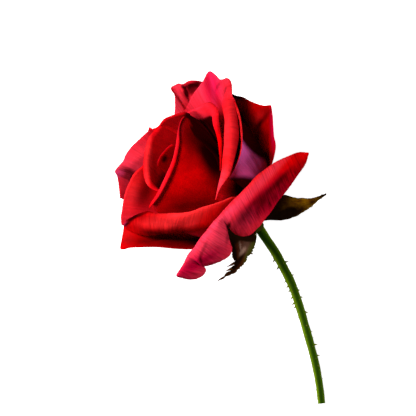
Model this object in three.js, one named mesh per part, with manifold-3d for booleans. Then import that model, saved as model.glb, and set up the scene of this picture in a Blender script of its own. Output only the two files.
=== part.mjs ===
// A cut rose lying on its back, in millimetres, +Z up.
// The flower opens along the line "open", which leans 30 degrees up from the table.
// Every petal is a blade from a claw on the hip to a rim that is read from the front view.

import * as THREE from "three";
import { mergeVertices } from "three/addons/utils/BufferGeometryUtils.js";
import Module from "manifold-3d";

const wasm = await Module();
wasm.setup();

// Main sizes
const petalThickness = 0.7;
const petalColumns = 11;
const petalRows = 6;
const lipRows = 3;
const clawStep = 0.85;
const clawDrop = 0.85;
const hipTop = 6.0;
const hipRadius = 7.6;
const hipLength = 9.0;
const stemRadiusTop = 1.9;
const stemRadiusEnd = 1.55;
const stemSides = 12;
const prickleLength = 1.5;
const prickleWidth = 1.1;
const sepalThickness = 0.9;
const barbWidth = 1.3;
const tableHeight = -14.0;
const gap = 0.35;

// Where the flower sits and which way it opens
const seat = new THREE.Vector3(-3, 2, 0);
const open = new THREE.Vector3(-0.72, 0.48, 0.5).normalize();
const side = new THREE.Vector3(0.555, 0.832, 0).normalize();
const front = new THREE.Vector3().crossVectors(side, open).normalize();
if (front.z < 0) front.negate();

const degrees = Math.PI / 180;

// Direction away from the flower's axis, turned from the front
function ray(turn) {
  return front.clone().multiplyScalar(Math.cos(turn)).addScaledVector(side, Math.sin(turn));
}

// A point seen at x, y in the front view, at a height along the axis
function spot([x, y, height]) {
  const z = (height - open.x * (x - seat.x) - open.y * (y - seat.y)) / open.z;
  return new THREE.Vector3(x, y, z);
}

// A value that runs smoothly through a short list, at a share from 0 to 1
function along(values, share) {
  if (!Array.isArray(values)) return values;
  if (values.length === 1) return values[0];
  const place = share * (values.length - 1);
  const left = Math.min(Math.floor(place), values.length - 2);
  let blend = place - left;
  blend = blend * blend * (3 - 2 * blend);
  return values[left] * (1 - blend) + values[left + 1] * blend;
}

// Petals from the bud outwards.
// rim: [x, y, height along the axis], or [turn, radius, height] for the petals at the back.
// edge: where the rolled lip of that rim point ends, as [x, y, z].
const petals = [
  {
    name: "petal_heart_left", layer: 0, middle: 190, pinch: 0.5, k2: 0.4, spread: 30, lean: -15, k1: 0.5,
    columns: 8,
    rim: [[-37.9, 22.4, 43.5], [-37.5, 24.4, 44.6], [-36.6, 26.4, 45.2], [-35.2, 28.3, 45.8],
      [-33.6, 30, 45.8], [-32, 31, 45.4]],
  },
  {
    name: "petal_bud_left", layer: 1, middle: 215, pinch: 0.45, k2: 0.4, spread: [41, 48, 45],
    lean: [-10, -12, -15, -15],
    k1: 0.49, lip: 0.8, roll: [60, 120, 120, 120, 60],
    rim: [[-35.6, 38, 49], [-38.9, 33.5, 49], [-40.2, 29.5, 48], [-41.1, 23, 46.6],
      [-40.4, 17, 44.5], [-38.8, 14.4, 43], [-36.3, 12.4, 41.5], [-33, 11.5, 39.5]],
  },
  {
    name: "petal_bud_front", layer: 2, middle: 19, pinch: 0.5, spread: [44, 44, 49], columns: 16,
    lean: [-30, -35, -30, -20, -15, -10], k1: 0.42, k2: 0.2, lip: [0.8, 0.8, 0.8, 0.8, 0.5],
    roll: [120, 120, 120, 120, 60, 30],
    rim: [[-40.1, 6.6, 41], [-37.6, 11.5, 43.5], [-33.4, 21.3, 46], [-31.2, 30.5, 47.3],
      [-30.6, 35, 48], [-29.2, 39, 48.5], [-27, 41.8, 48.6], [-25.6, 39.6, 45.5],
      [-22.6, 34.5, 41], [-18.5, 30.3, 36.8], [-15, 26.5, 33.2], [-13.2, 22, 29.5]],
  },
  {
    name: "petal_bud_back", layer: 3, middle: 147, pinch: 0.5, k1: 0.47, k2: 0.3, spread: [33, 35, 50],
    lean: [-5, -10, -15],
    lip: 0.6, roll: 90, columns: 10,
    rim: [[-24.6, 42.4, 46.8], [-26, 43, 47.8], [-28.5, 42.7, 48.8], [-31.5, 41.9, 49.5],
      [-34.5, 40.5, 49.8], [-36.8, 38.2, 48.5], [-38.6, 36, 46], [-40, 32.5, 43.5]],
  },
  {
    name: "petal_inner_left", layer: 3, middle: 201, pinch: 0.59, k1: 0.45, k2: 0.32,
    spread: [59, 60, 51], lean: [5, 10, 25, 40, 40],
    lip: 0.8, roll: [60, 120, 120, 90, 40],
    rim: [[-41.5, 24.5, 44], [-43.3, 22, 44], [-45.4, 20.2, 43.8], [-47.5, 17.6, 43.2],
      [-50.2, 11.5, 41.5], [-51, 8, 40.5], [-52, 1.5, 39], [-52, -1.2, 38.3]],
  },
  {
    name: "petal_inner_right", layer: 4, middle: 50, pinch: 0.5, k2: 0.2, spread: [43, 53, 48],
    lean: [10, 20, 35, 15, 10], k1: 0.42,
    lip: [0.5, 0.6, 1, 1, 0.6], roll: [40, 90, 140, 140, 100], columns: 14,
    rim: [[-26, 43.6, 42.5], [-24, 44, 44.2], [-21.5, 45.2, 46], [-17.8, 46.5, 46],
      [-15.2, 43.8, 44.5], [-13.4, 39.8, 43], [-12.3, 35.5, 41], [-11.8, 31, 39],
      [-12.6, 22, 34], [-13.6, 17, 30]],
  },
  {
    name: "petal_tall_right", layer: 5, middle: 84, pinch: 0.5, k2: 0.2, spread: [49, 56, 51], k1: 0.5,
    columns: 18,
    lean: [15, 30, 40, 45, 45, 38, 25, 15], lip: [0.5, 0.5, 0.5, 1.2, 1.6, 1.6, 1.4, 0.6],
    roll: [20, 40, 60, 120, 160, 160, 160, 90],
    rim: [[-26.8, 44.6, 39], [-25.8, 47.5, 42.5], [-24.1, 51, 46], [-20.3, 56, 49], [-17.3, 59.8, 50],
      [-15.2, 58.9, 49.5], [-12.8, 56.9, 48.4], [-10.2, 56.7, 47.6], [-9.7, 53.5, 46.5],
      [-11, 48, 44.8], [-9.9, 42, 42.7], [-9.6, 35, 40], [-10, 28, 37], [-11.2, 20.5, 33.5],
      [-13, 13.5, 30.5], [-14.3, 8.8, 28]],
  },
  {
    name: "petal_rim_right", layer: 6, middle: 20, pinch: 0.6, k2: 0.2, spread: [74, 67, 69],
    lean: [55, 50, 45, 35, 20, 10], k1: 0.65,
    lip: 0.6, roll: 90,
    clear: ["petal_tall_right"],
    rim: [[-8.4, 48.9, 43.6], [-6.3, 45.6, 41.2], [-4.9, 41.9, 39.2],
      [-3.9, 36, 36.2], [-3.9, 30.9, 33.6], [-4.6, 25.5, 31.2], [-6.3, 21.5, 30], [-9, 17.5, 29.3]],
  },
  {
    name: "petal_outer_left", layer: 5, middle: 194, pinch: 0.5, k1: 0.39, k2: 0.44,
    spread: [48, 48, 60], lean: [10, 15, 30, 45, 20, 10],
    lip: 0.6, roll: [40, 60, 60, 30, 60], columns: 16,
    rim: [[-36, 38.5, 42], [-39.5, 37, 43.5], [-42.5, 35, 44.5], [-45.5, 32.4, 45.2],
      [-50.2, 26.8, 46], [-51.3, 24.3, 46], [-54.8, 20.2, 45.2], [-54, 18.6, 44.4],
      [-52.8, 13, 42], [-52.4, 9.5, 41]],
  },
  {
    name: "petal_rolled_front", layer: 5, middle: -15, pinch: 0.49, k1: 0.63, k2: 0.2,
    spread: [30, 66, 60], lean: 20, columns: 18,
    arrive: [0.5, 0.8, 0.8, 0.8, 0.6],
    clear: ["petal_inner_left"],
    rim: [[-50.4, -0.7, 37], [-48.5, 1.4, 38.3], [-46, 3, 39.2], [-42.5, 4.1, 39.7],
      [-35, 3.4, 38.3], [-25, 4, 34.8], [-20, 5.7, 32.2], [-15, 7.4, 29.2], [-10.5, 8.8, 25.4],
      [-7.5, 9.8, 22.5], [-4, 9.6, 18.4]],
    edge: [[-50.4, -1.3, 8], [-48.6, -3.6, 9], [-45.5, -5.1, 11.5], [-42, -5.4, 14.5],
      [-36, -4.9, 19], [-27.7, -3.6, 25], [-22, -3.4, 27], [-16, -0.5, 27.5], [-12, 3, 27],
      [-8.5, 6, 25.5], [-5, 7, 23]],
    lift: [1, 4, 5, 5, 4, 2.5, 1.5], under: 200,
  },
  {
    name: "petal_lower", layer: 6, middle: -31, pinch: 0.45, k2: 0.37, spread: [60, 69, 66], k1: 0.44,
    lean: [50, 60, 60, 50, 50],
    lip: 0.6, roll: 40,
    clear: ["petal_rolled_front"],
    rim: [[-50.4, 2, 34.2], [-50.9, -2, 35.6], [-51.6, -6, 36.5], [-52.2, -10.7, 36.8],
      [-48, -10.1, 34.3], [-38, -9.8, 28], [-32, -10.3, 24.4], [-26, -10.6, 21], [-20, -10.4, 16.6],
      [-14, -8.5, 12]],
  },
  {
    name: "petal_top", layer: 6, middle: 139, pinch: 0.6, k1: 0.29, k2: 0.27, spread: [62, 48, 53],
    lean: [20, 35, 30, 20],
    lip: 0.6, roll: 40, columns: 14,
    rim: [[-30.2, 38, 37], [-30.7, 42.5, 40], [-30.5, 46.5, 42], [-30.9, 51, 44], [-32.3, 54, 45],
      [-30, 55.3, 45], [-27.5, 55.1, 44.5], [-25, 56.3, 44.5], [-22.5, 56.4, 44], [-19.5, 55.8, 43],
      [-15, 54, 41], [-11, 51, 38]],
  },
  {
    name: "petal_right_outer", layer: 8, middle: 80, pinch: 0.6, k2: 0.35, spread: [81, 76, 70],
    k1: 0.47, lean: [40, 50, 55, 60, 60, 60],
    lip: [0.5, 0.6, 0.8, 0.8, 0.6], roll: [30, 60, 80, 80, 60], columns: 16,
    rim: [[-13, 50, 35.5], [-9.5, 51.3, 35], [-6, 49.8, 34], [-3.5, 49.2, 32.8], [-0.5, 47.6, 31],
      [5, 46, 28], [7.3, 46.3, 27], [7.9, 43, 25], [8.1, 34, 20.5], [8.9, 30, 18.5],
      [8.4, 26, 16.5], [7.6, 23, 15]],
  },
  {
    name: "petal_reflexed_front", layer: 7, middle: -8, pinch: 0.5, spread: [86, 89, 82, 68, 60],
    lean: 40, k1: 0.45, k2: 0.27,
    arrive: 1, columns: 25,
    rim: [[22.4, 27.7, 9], [19, 27.8, 11.2], [14, 26, 14.8], [9, 23.6, 18.4], [4, 20.2, 21.6],
      [0, 16.3, 24], [-4, 12.2, 26], [-8, 8.1, 27.3], [-10, 6, 27.5], [-12, 4, 27.6],
      [-13.6, 2.1, 27.5], [-15.2, 0.3, 27.2], [-17, -2, 26.6], [-18.7, -4.1, 26],
      [-20.5, -6.4, 25.4], [-22.3, -8.8, 24.6], [-24, -11.3, 23.8], [-26, -14.3, 22.6],
      [-28, -17.5, 21.4], [-29.3, -19.6, 20.7], [-30.3, -21.3, 20]],
    edge: [[22.6, 27.2, 29], [21.3, 23.5, 29], [17.6, 18, 29], [13.5, 12.5, 30.5], [9.5, 7.2, 31.5],
      [5.5, 2, 32], [2.9, -1.6, 32], [-1, -4.9, 31], [-4.6, -5.4, 30], [-7.8, -3.9, 30],
      [-9.5, -1.5, 31], [-9.8, -3.6, 31.5], [-9, -7.6, 30], [-8.2, -10.4, 28.4], [-9.2, -13.2, 27],
      [-12, -15.6, 25.6], [-18, -17.5, 24], [-18.5, -20.3, 20.5], [-21.6, -22.3, 19],
      [-25.3, -22.9, 18.7], [-29.8, -21.8, 19.5]],
    lift: [0.5, 3, 5, 6, 6, 5, 3.5, 2], under: 200,
  },
  {
    name: "petal_back_right", layer: 7, middle: 141, pinch: 0.5, k2: 0.28, spread: [95, 88, 84, 85],
    k1: 0.49, lean: [75, 60, 50, 50],
    lip: 0.6, roll: 40, polar: true, columns: 13,
    rim: [[112, 27, 12], [118, 32, 9], [126, 35.8, 7.5], [136, 35, 16.5], [148, 33.2, 22],
      [160, 31.5, 26.5], [170, 29, 27], [178, 24, 24]],
  },
  {
    name: "petal_back_left", layer: 8, middle: 223, pinch: 0.5, k2: 0.4, spread: [78, 80, 81], k1: 0.42,
    lean: 50, lip: 0.6,
    roll: 40, polar: true,
    clear: ["petal_lower", "petal_back_right"],
    rim: [[176, 24, 23], [185, 31, 27], [196, 33.7, 28.5], [209, 36, 29], [222, 34, 29],
      [235, 30, 27], [244, 23, 22]],
  },
];

// A smooth line through points, with each sample's share of the point list
function smoothLine(points, count) {
  const line = new THREE.CatmullRomCurve3(points, false, "centripetal");
  const samples = [];
  for (let i = 0; i < count; i += 1) {
    const share = line.getUtoTmapping(i / (count - 1));
    samples.push({ point: line.getPoint(share), share });
  }
  return { line, samples };
}

// Rows of points from the claw to the rim, then over the rolled lip
function petalGrid(petal) {
  const rimPoints = petal.rim.map((item) => {
    if (!petal.polar) return spot(item);
    const [turn, radius, height] = item;
    return seat.clone().addScaledVector(ray(turn * degrees), radius).addScaledVector(open, height);
  });
  const count = petal.columns || petalColumns;
  const { samples } = smoothLine(rimPoints, count);
  const claw = 1.2 + petal.layer * clawStep;
  const rise = hipTop - petal.layer * clawDrop;
  const { k1 = 0.45, k2 = 0.4, pinch = 0.4 } = petal;
  const columns = samples.map(({ point: rim, share }, i) => {
    const even = i / (count - 1);
    const away = rim.clone().sub(seat);
    let turn = Math.atan2(away.dot(side), away.dot(front));
    const middle = petal.middle * degrees;
    turn += 2 * Math.PI * Math.round((middle - turn) / (2 * Math.PI));
    const clawTurn = middle + (turn - middle) * pinch;
    const foot = seat.clone().addScaledVector(ray(clawTurn), claw).addScaledVector(open, rise);
    const reach = rim.distanceTo(foot);
    const spread = along(petal.spread, even) * degrees;
    const lean = along(petal.lean, even) * degrees;
    const start = ray(clawTurn + (turn - clawTurn) * 0.6).multiplyScalar(Math.sin(spread))
      .addScaledVector(open, Math.cos(spread));
    const arrive = ray(turn).multiplyScalar(Math.sin(lean)).addScaledVector(open, Math.cos(lean));
    if (petal.arrive) {
      const amount = along(petal.arrive, even);
      arrive.multiplyScalar(1 - amount).add(new THREE.Vector3(0, 0, amount)).normalize();
    }
    const bend = new THREE.CubicBezierCurve3(
      foot,
      foot.clone().addScaledVector(start, reach * k1),
      rim.clone().addScaledVector(arrive, -reach * k2),
      rim,
    );
    return { even, share, turn, arrive, rim, blade: bend.getPoints(petalRows) };
  });

  // The lip rolls away from the flower's axis
  columns.forEach((column, i) => {
    const before = columns[Math.max(i - 1, 0)].rim;
    const after = columns[Math.min(i + 1, count - 1)].rim;
    column.outward = after.clone().sub(before).cross(column.arrive).normalize();
  });
  const facing = columns.reduce((sum, c) => sum + Math.sign(c.outward.dot(ray(c.turn))), 0);
  columns.forEach((column) => column.outward.multiplyScalar(Math.sign(facing) || 1));

  let edgeLine = null;
  if (petal.edge) {
    edgeLine = smoothLine(petal.edge.map((p) => new THREE.Vector3(...p)), 2).line;
  }
  columns.forEach((column) => {
    const { even, share, rim, arrive, outward, blade } = column;
    if (edgeLine) {
      const edge = edgeLine.getPoint(share);
      const lift = along(petal.lift, even);
      for (let k = 1; k <= lipRows; k += 1) {
        const angle = (k / lipRows) * petal.under * degrees;
        blade.push(rim.clone().lerp(edge, (1 - Math.cos(angle)) / 2)
          .addScaledVector(arrive, lift * Math.sin(angle)));
      }
    } else if (petal.lip) {
      const radius = along(petal.lip, even);
      const roll = along(petal.roll, even) * degrees;
      for (let k = 1; k <= lipRows; k += 1) {
        const angle = (k / lipRows) * roll;
        blade.push(rim.clone().addScaledVector(arrive, radius * Math.sin(angle))
          .addScaledVector(outward, radius * (1 - Math.cos(angle))));
      }
    }
  });
  return columns.map((column) => column.blade);
}

// A blade of even thickness on both sides of a grid of points
function bladeGeometry(grid, thickness) {
  const wide = grid.length;
  const long = grid[0].length;
  const normal = (i, j) => {
    const u = grid[Math.min(i + 1, wide - 1)][j].clone().sub(grid[Math.max(i - 1, 0)][j]);
    const v = grid[i][Math.min(j + 1, long - 1)].clone().sub(grid[i][Math.max(j - 1, 0)]);
    return u.cross(v).normalize();
  };
  const positions = [];
  const index = [];
  for (const half of [0.5, -0.5]) {
    for (let i = 0; i < wide; i += 1) {
      for (let j = 0; j < long; j += 1) {
        const p = grid[i][j].clone().addScaledVector(normal(i, j), half * thickness);
        positions.push(p.x, p.y, p.z);
      }
    }
  }
  const at = (i, j, lower) => (lower ? wide * long : 0) + i * long + j;
  for (let i = 0; i < wide - 1; i += 1) {
    for (let j = 0; j < long - 1; j += 1) {
      for (const lower of [false, true]) {
        const [a, b, c, d] = [
          at(i, j, lower), at(i + 1, j, lower), at(i + 1, j + 1, lower), at(i, j + 1, lower),
        ];
        if (lower) index.push(a, c, b, a, d, c);
        else index.push(a, b, c, a, c, d);
      }
    }
  }
  const border = [];
  for (let i = 0; i < wide - 1; i += 1) border.push([i, 0]);
  for (let j = 0; j < long - 1; j += 1) border.push([wide - 1, j]);
  for (let i = wide - 1; i > 0; i -= 1) border.push([i, long - 1]);
  for (let j = long - 1; j > 0; j -= 1) border.push([0, j]);
  border.forEach(([i, j], k) => {
    const [m, n] = border[(k + 1) % border.length];
    index.push(at(i, j, false), at(m, n, true), at(m, n, false));
    index.push(at(i, j, false), at(i, j, true), at(m, n, true));
  });
  const geometry = new THREE.BufferGeometry();
  geometry.setAttribute("position", new THREE.Float32BufferAttribute(positions, 3));
  geometry.setIndex(index);
  return geometry;
}

// A closed body as a solid that can be joined and cut
function toSolid(geometry) {
  const plain = geometry.clone();
  plain.deleteAttribute("normal");
  plain.deleteAttribute("uv");
  const merged = mergeVertices(plain, 1e-3);
  const solid = new wasm.Manifold(new wasm.Mesh({
    numProp: 3,
    vertProperties: new Float32Array(merged.attributes.position.array),
    triVerts: new Uint32Array(merged.index.array),
  }));
  return solid;
}

function toGeometry(solid) {
  const data = solid.getMesh();
  const geometry = new THREE.BufferGeometry();
  geometry.setAttribute("position", new THREE.Float32BufferAttribute(data.vertProperties, 3));
  geometry.setIndex(Array.from(data.triVerts));
  return geometry;
}

function largestBody(solid) {
  return solid.decompose().reduce((best, body) => (body.volume() > best.volume() ? body : best));
}

// A round body along a path, with a radius for each share of the length
function tubeGeometry(points, radiusAt, sides, steps) {
  const line = new THREE.CatmullRomCurve3(points, false, "centripetal");
  const frames = line.computeFrenetFrames(steps, false);
  const positions = [];
  const index = [];
  for (let i = 0; i <= steps; i += 1) {
    const centre = line.getPointAt(i / steps);
    for (let k = 0; k < sides; k += 1) {
      const angle = (k / sides) * 2 * Math.PI;
      const p = centre.clone()
        .addScaledVector(frames.normals[i], radiusAt(i / steps) * Math.cos(angle))
        .addScaledVector(frames.binormals[i], radiusAt(i / steps) * Math.sin(angle));
      positions.push(p.x, p.y, p.z);
    }
  }
  for (let i = 0; i < steps; i += 1) {
    for (let k = 0; k < sides; k += 1) {
      const [a, b] = [i * sides + k, i * sides + ((k + 1) % sides)];
      index.push(a, b, b + sides, a, b + sides, a + sides);
    }
  }
  for (const end of [0, steps]) {
    const centre = line.getPointAt(end / steps);
    const last = positions.length / 3;
    positions.push(centre.x, centre.y, centre.z);
    for (let k = 0; k < sides; k += 1) {
      const [a, b] = [end * sides + k, end * sides + ((k + 1) % sides)];
      if (end) index.push(last, a, b);
      else index.push(last, b, a);
    }
  }
  const geometry = new THREE.BufferGeometry();
  geometry.setAttribute("position", new THREE.Float32BufferAttribute(positions, 3));
  geometry.setIndex(index);
  return geometry;
}

// A cone with its foot sunk into what it grows from
function coneGeometry(foot, tip, width, sides) {
  const axis = tip.clone().sub(foot);
  const geometry = new THREE.ConeGeometry(width / 2, axis.length(), sides);
  geometry.translate(0, axis.length() / 2, 0);
  geometry.applyQuaternion(new THREE.Quaternion().setFromUnitVectors(
    new THREE.Vector3(0, 1, 0), axis.normalize(),
  ));
  geometry.translate(foot.x, foot.y, foot.z);
  return geometry;
}

// Same numbers on every build
function seededRandom(seed) {
  let state = seed;
  return () => {
    state = (state * 16807) % 2147483647;
    return state / 2147483647;
  };
}

// The stem's line as seen from the front, sinking towards the table
const stemPoints = [[1.8, -0.6, -3.6], [5.7, -6.6, -5.8], [9.4, -12.1, -7.2], [13, -18.7, -8.8],
  [16.1, -24.9, -10], [18.7, -32.1, -11], [21.2, -40.3, -11.7], [23.8, -49.5, -12.1],
  [25.9, -57.7, -12.3], [27.4, -65.9, -12.4], [28.3, -73.4, -12.45]].map((p) => new THREE.Vector3(...p));

// Prickles stand on the stem's two flanks, from just under the hip to the cut end
const prickleCount = 34;

function stemSolid() {
  const radiusAt = (share) => stemRadiusTop + (stemRadiusEnd - stemRadiusTop) * share;
  let stem = toSolid(tubeGeometry(stemPoints, radiusAt, stemSides, 26));
  const line = new THREE.CatmullRomCurve3(stemPoints, false, "centripetal");
  const random = seededRandom(71);
  const up = new THREE.Vector3(0, 0, 1);
  for (let i = 0; i < prickleCount; i += 1) {
    const share = 0.16 + 0.83 * ((i + 0.7 * random()) / prickleCount);
    const tangent = line.getTangentAt(share);
    const across = new THREE.Vector3().crossVectors(tangent, up).normalize();
    const over = new THREE.Vector3().crossVectors(across, tangent).normalize();
    const turn = (i % 3 === 1 ? 0 : Math.PI) + (random() - 0.5) * 1.7;
    const away = across.clone().multiplyScalar(Math.cos(turn))
      .addScaledVector(over, Math.abs(Math.sin(turn)) - 0.1).normalize();
    const centre = line.getPointAt(share);
    const radius = radiusAt(share);
    const length = prickleLength * (0.6 + 0.6 * random());
    const foot = centre.clone().addScaledVector(away, radius * 0.55);
    const tip = centre.clone().addScaledVector(away, radius + length)
      .addScaledVector(tangent, length * 0.35);
    stem = stem.add(toSolid(coneGeometry(foot, tip, prickleWidth, 5)));
  }
  stem = stem.subtract(hipSolid(gap));
  return largestBody(stem.trimByPlane([0, 0, 1], tableHeight));
}

// Sepals: rows of [left x, y, z, right x, y, z, bulge towards the viewer] from hip to tip.
// The lower one lies against the underside of the long front petal.
const sepals = [
  {
    name: "right",
    rows: [[-1, 7, -4, 2, 0, -4, 1], [6, 9.6, -4, 6.6, 0.8, -4, 2],
      [12.6, 10.9, -3.4, 12.4, 0.8, -3.4, 2.4],
      [16.8, 9.8, -2.6, 16.7, 1.9, -2.6, 2.2], [20.6, 9.5, -1.6, 20.4, 3.8, -1.6, 1.6],
      [24.2, 9.5, -0.4, 24.1, 6.4, -0.4, 0.9], [27.3, 10.4, 1, 27.4, 9.2, 1, 0.3],
      [29.9, 11.5, 2.4, 30, 10.9, 2.4, 0]],
  },
  {
    name: "lower",
    rows: [[-2.5, -3.5, 0.9, 0.4, -1.3, 3, 0], [-3, -5.7, 8, 1.6, -3.4, 7, 0.3],
      [-6.6, -5.6, 20, 1.7, -5.8, 8.8, 1], [-9.5, -3.6, 26.8, 1.3, -8.3, 9.4, 2],
      [-9.9, -5.6, 24.8, 0.7, -10.2, 10, 2.3],
      [-9.3, -8.1, 20.5, 0.1, -11.8, 10.4, 2.2], [-8.1, -11.1, 16.5, -1, -13.2, 10.6, 1.6],
      [-7.4, -13.8, 14, -2.3, -15, 10.6, 1.2], [-7.3, -16.2, 12.2, -3.6, -17.2, 10.4, 0.8],
      [-8.3, -18.5, 11, -5.5, -19, 9.8, 0.4], [-10, -20.5, 9.4, -8, -20.9, 9.2, 0.2],
      [-13.6, -23.4, 7.4, -13.9, -24, 7.4, 0]],
    barbs: [[-6.8, -16.4, 12, -10.3, -18.2, 10.4], [-7.9, -18.6, 11, -10.9, -19.9, 9.6],
      [-1.2, -12.2, 10.8, 0.6, -12.9, 10.6]],
  },
];

function sepalSolid(sepal) {
  const across = 4;
  const grid = sepal.rows.map(([lx, ly, lz, rx, ry, rz, bulge]) => {
    const left = new THREE.Vector3(lx, ly, lz);
    const right = new THREE.Vector3(rx, ry, rz);
    const row = [];
    for (let k = 0; k <= across; k += 1) {
      const share = k / across;
      const point = left.clone().lerp(right, share);
      point.z += bulge * Math.sin(Math.PI * share);
      row.push(point);
    }
    return row;
  });
  let solid = toSolid(bladeGeometry(grid, sepalThickness));
  if (solid.volume() < 0) throw new Error("sepal faces inward");
  for (const [x, y, z, tx, ty, tz] of sepal.barbs || []) {
    const foot = new THREE.Vector3(x, y, z);
    const tip = new THREE.Vector3(tx, ty, tz);
    solid = solid.add(toSolid(coneGeometry(foot, tip, barbWidth, 5)));
  }
  return solid;
}

// The hip: a cone for the claws to stand on, narrowing to the stem below
function hipSolid(wider = 0) {
  const profile = [[0, -hipLength], [2.05, -hipLength], [3.2, -6.6], [5.6, -3.6], [7.2, -1.9],
    [hipRadius, -0.9], [6.9, -0.75], [0.7, 5.4], [0, 5.6]]
    .map(([r, h]) => [r && r + wider, h + (h > -1 ? wider : -wider)]);
  const geometry = new THREE.LatheGeometry(profile.map(([r, h]) => new THREE.Vector2(r, h)), 20);
  geometry.applyQuaternion(new THREE.Quaternion().setFromUnitVectors(new THREE.Vector3(0, 1, 0), open));
  geometry.translate(seat.x, seat.y, seat.z);
  return toSolid(geometry);
}

function calyxSolid() {
  let calyx = hipSolid();
  for (const sepal of sepals) calyx = calyx.add(sepalSolid(sepal));
  return calyx;
}

const group = new THREE.Group();
group.name = "cut_rose";

function addMesh(name, geometry, color) {
  const mesh = new THREE.Mesh(geometry, new THREE.MeshStandardMaterial({ color, roughness: 0.55 }));
  mesh.name = name;
  group.add(mesh);
}

// A petal gives way to the ones named in its "clear" list and ends at the table
const grids = new Map();
for (const petal of petals) {
  const grid = petalGrid(petal);
  grids.set(petal.name, grid);
  let solid = toSolid(bladeGeometry(grid, petalThickness));
  for (const other of petal.clear || []) {
    solid = solid.subtract(toSolid(bladeGeometry(grids.get(other), petalThickness + 2 * gap)));
  }
  solid = largestBody(solid.trimByPlane([0, 0, 1], tableHeight));
  addMesh(petal.name, toGeometry(solid), 0xb3101f);
}
addMesh("calyx", toGeometry(calyxSolid()), 0x4a3a1c);
addMesh("stem", toGeometry(stemSolid()), 0x4d6b1f);

// The middle of the footprint is the origin and the table is at zero
const bounds = new THREE.Box3().setFromObject(group);
const centre = bounds.getCenter(new THREE.Vector3());
for (const mesh of group.children) mesh.geometry.translate(-centre.x, -centre.y, -bounds.min.z);

export default group;
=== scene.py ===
import math
import bpy
import numpy as np
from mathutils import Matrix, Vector


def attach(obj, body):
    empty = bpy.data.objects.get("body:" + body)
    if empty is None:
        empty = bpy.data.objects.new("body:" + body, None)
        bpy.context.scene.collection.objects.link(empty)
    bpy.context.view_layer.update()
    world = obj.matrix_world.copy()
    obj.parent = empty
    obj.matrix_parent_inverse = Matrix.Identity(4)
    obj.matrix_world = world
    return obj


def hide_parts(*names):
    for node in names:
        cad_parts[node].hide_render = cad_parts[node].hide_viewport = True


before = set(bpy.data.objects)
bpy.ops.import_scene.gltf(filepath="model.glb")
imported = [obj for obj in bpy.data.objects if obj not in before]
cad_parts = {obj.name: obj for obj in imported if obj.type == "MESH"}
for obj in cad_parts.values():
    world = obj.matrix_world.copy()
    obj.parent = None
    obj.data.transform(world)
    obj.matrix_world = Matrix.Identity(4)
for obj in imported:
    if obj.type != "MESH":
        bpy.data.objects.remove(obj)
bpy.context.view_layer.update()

mm = 0.001
degree = math.pi / 180

# Lengths are in millimetres in the drawing's own frame until a mesh is made.
# There x runs right, y up and z towards the viewer, and the hip is near the origin.
flower = {
    "seat": (-3.0, 2.0, 0.0),             # where the claws meet
    "open": (-0.72, 0.48, 0.5),           # the way the flower opens
    "side": (0.555, 0.832, 0.0),          # at right angles to it in the picture
    "shift": (12.1661, 6.7135, 14.0),     # from the drawing to the frame
    "clear": 0.02,                        # how close the lowest petal comes to the table
}


def unit(v):
    v = np.asarray(v, float)
    return v / np.maximum(np.linalg.norm(v, axis=-1, keepdims=True), 1e-9)


seat = np.array(flower["seat"])
openWay = unit(flower["open"])
sideWay = unit(flower["side"])
frontWay = unit(np.cross(sideWay, openWay))
if frontWay[2] < 0:
    frontWay = -frontWay


def ray(turn):      # direction away from the flower's axis
    turn = np.asarray(turn, float)[..., None]
    return np.cos(turn) * frontWay + np.sin(turn) * sideWay


def along(values, share):      # a value that runs smoothly through a short list
    values = np.atleast_1d(np.asarray(values, float))
    share = np.asarray(share, float)
    if len(values) == 1:
        return np.full(share.shape, values[0])
    place = np.clip(share, 0, 1) * (len(values) - 1)
    left = np.minimum(place.astype(int), len(values) - 2)
    blend = place - left
    blend = blend * blend * (3 - 2 * blend)
    return values[left] * (1 - blend) + values[left + 1] * blend


def smooth(low, high, value):
    t = np.clip((np.asarray(value, float) - low) / (high - low), 0, 1)
    return t * t * (3 - 2 * t)


def splineAt(points, shares):      # centripetal curve through the points
    pts = np.asarray(points, float)
    place = np.clip(np.asarray(shares, float), 0, 1) * (len(pts) - 1)
    seg = np.minimum(place.astype(int), len(pts) - 2)
    w = (place - seg)[:, None]
    padded = np.vstack([2 * pts[0] - pts[1], pts, 2 * pts[-1] - pts[-2]])
    p0, p1, p2, p3 = (padded[seg + k] for k in range(4))

    def knot(a, b):
        return np.maximum(np.sum((a - b) ** 2, axis=1) ** 0.25, 1e-4)[:, None]

    d0, d1, d2 = knot(p0, p1), knot(p1, p2), knot(p2, p3)
    t1 = ((p1 - p0) / d0 - (p2 - p0) / (d0 + d1) + (p2 - p1) / d1) * d1
    t2 = ((p2 - p1) / d1 - (p3 - p1) / (d1 + d2) + (p3 - p2) / d2) * d1
    return (p1 + t1 * w + (-3 * p1 + 3 * p2 - 2 * t1 - t2) * w ** 2
            + (2 * p1 - 2 * p2 + t1 + t2) * w ** 3)


def evenShares(points, count, samples=401):      # shares of the point list at equal lengths
    t = np.linspace(0, 1, samples)
    steps = np.linalg.norm(np.diff(splineAt(points, t), axis=0), axis=1)
    run = np.concatenate([[0], np.cumsum(steps)])
    return np.interp(np.linspace(0, run[-1], count), run, t)


# Materials

def newMaterial(name):
    mat = bpy.data.materials.new(name)
    mat.use_nodes = True
    mat.node_tree.nodes.clear()
    return mat, mat.node_tree


def put(tree, kind, links=None, values=None, **props):
    n = tree.nodes.new(kind)
    for key, value in props.items():
        setattr(n, key, value)
    for key, value in (values or {}).items():
        n.inputs[key].default_value = value
    for key, source in (links or {}).items():
        tree.links.new(source, n.inputs[key])
    return n


def shadeWith(tree, links, values):      # the shader at the end of a material
    shader = put(tree, "ShaderNodeBsdfPrincipled", links, values)
    put(tree, "ShaderNodeOutputMaterial", {"Surface": shader.outputs[0]})


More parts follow.
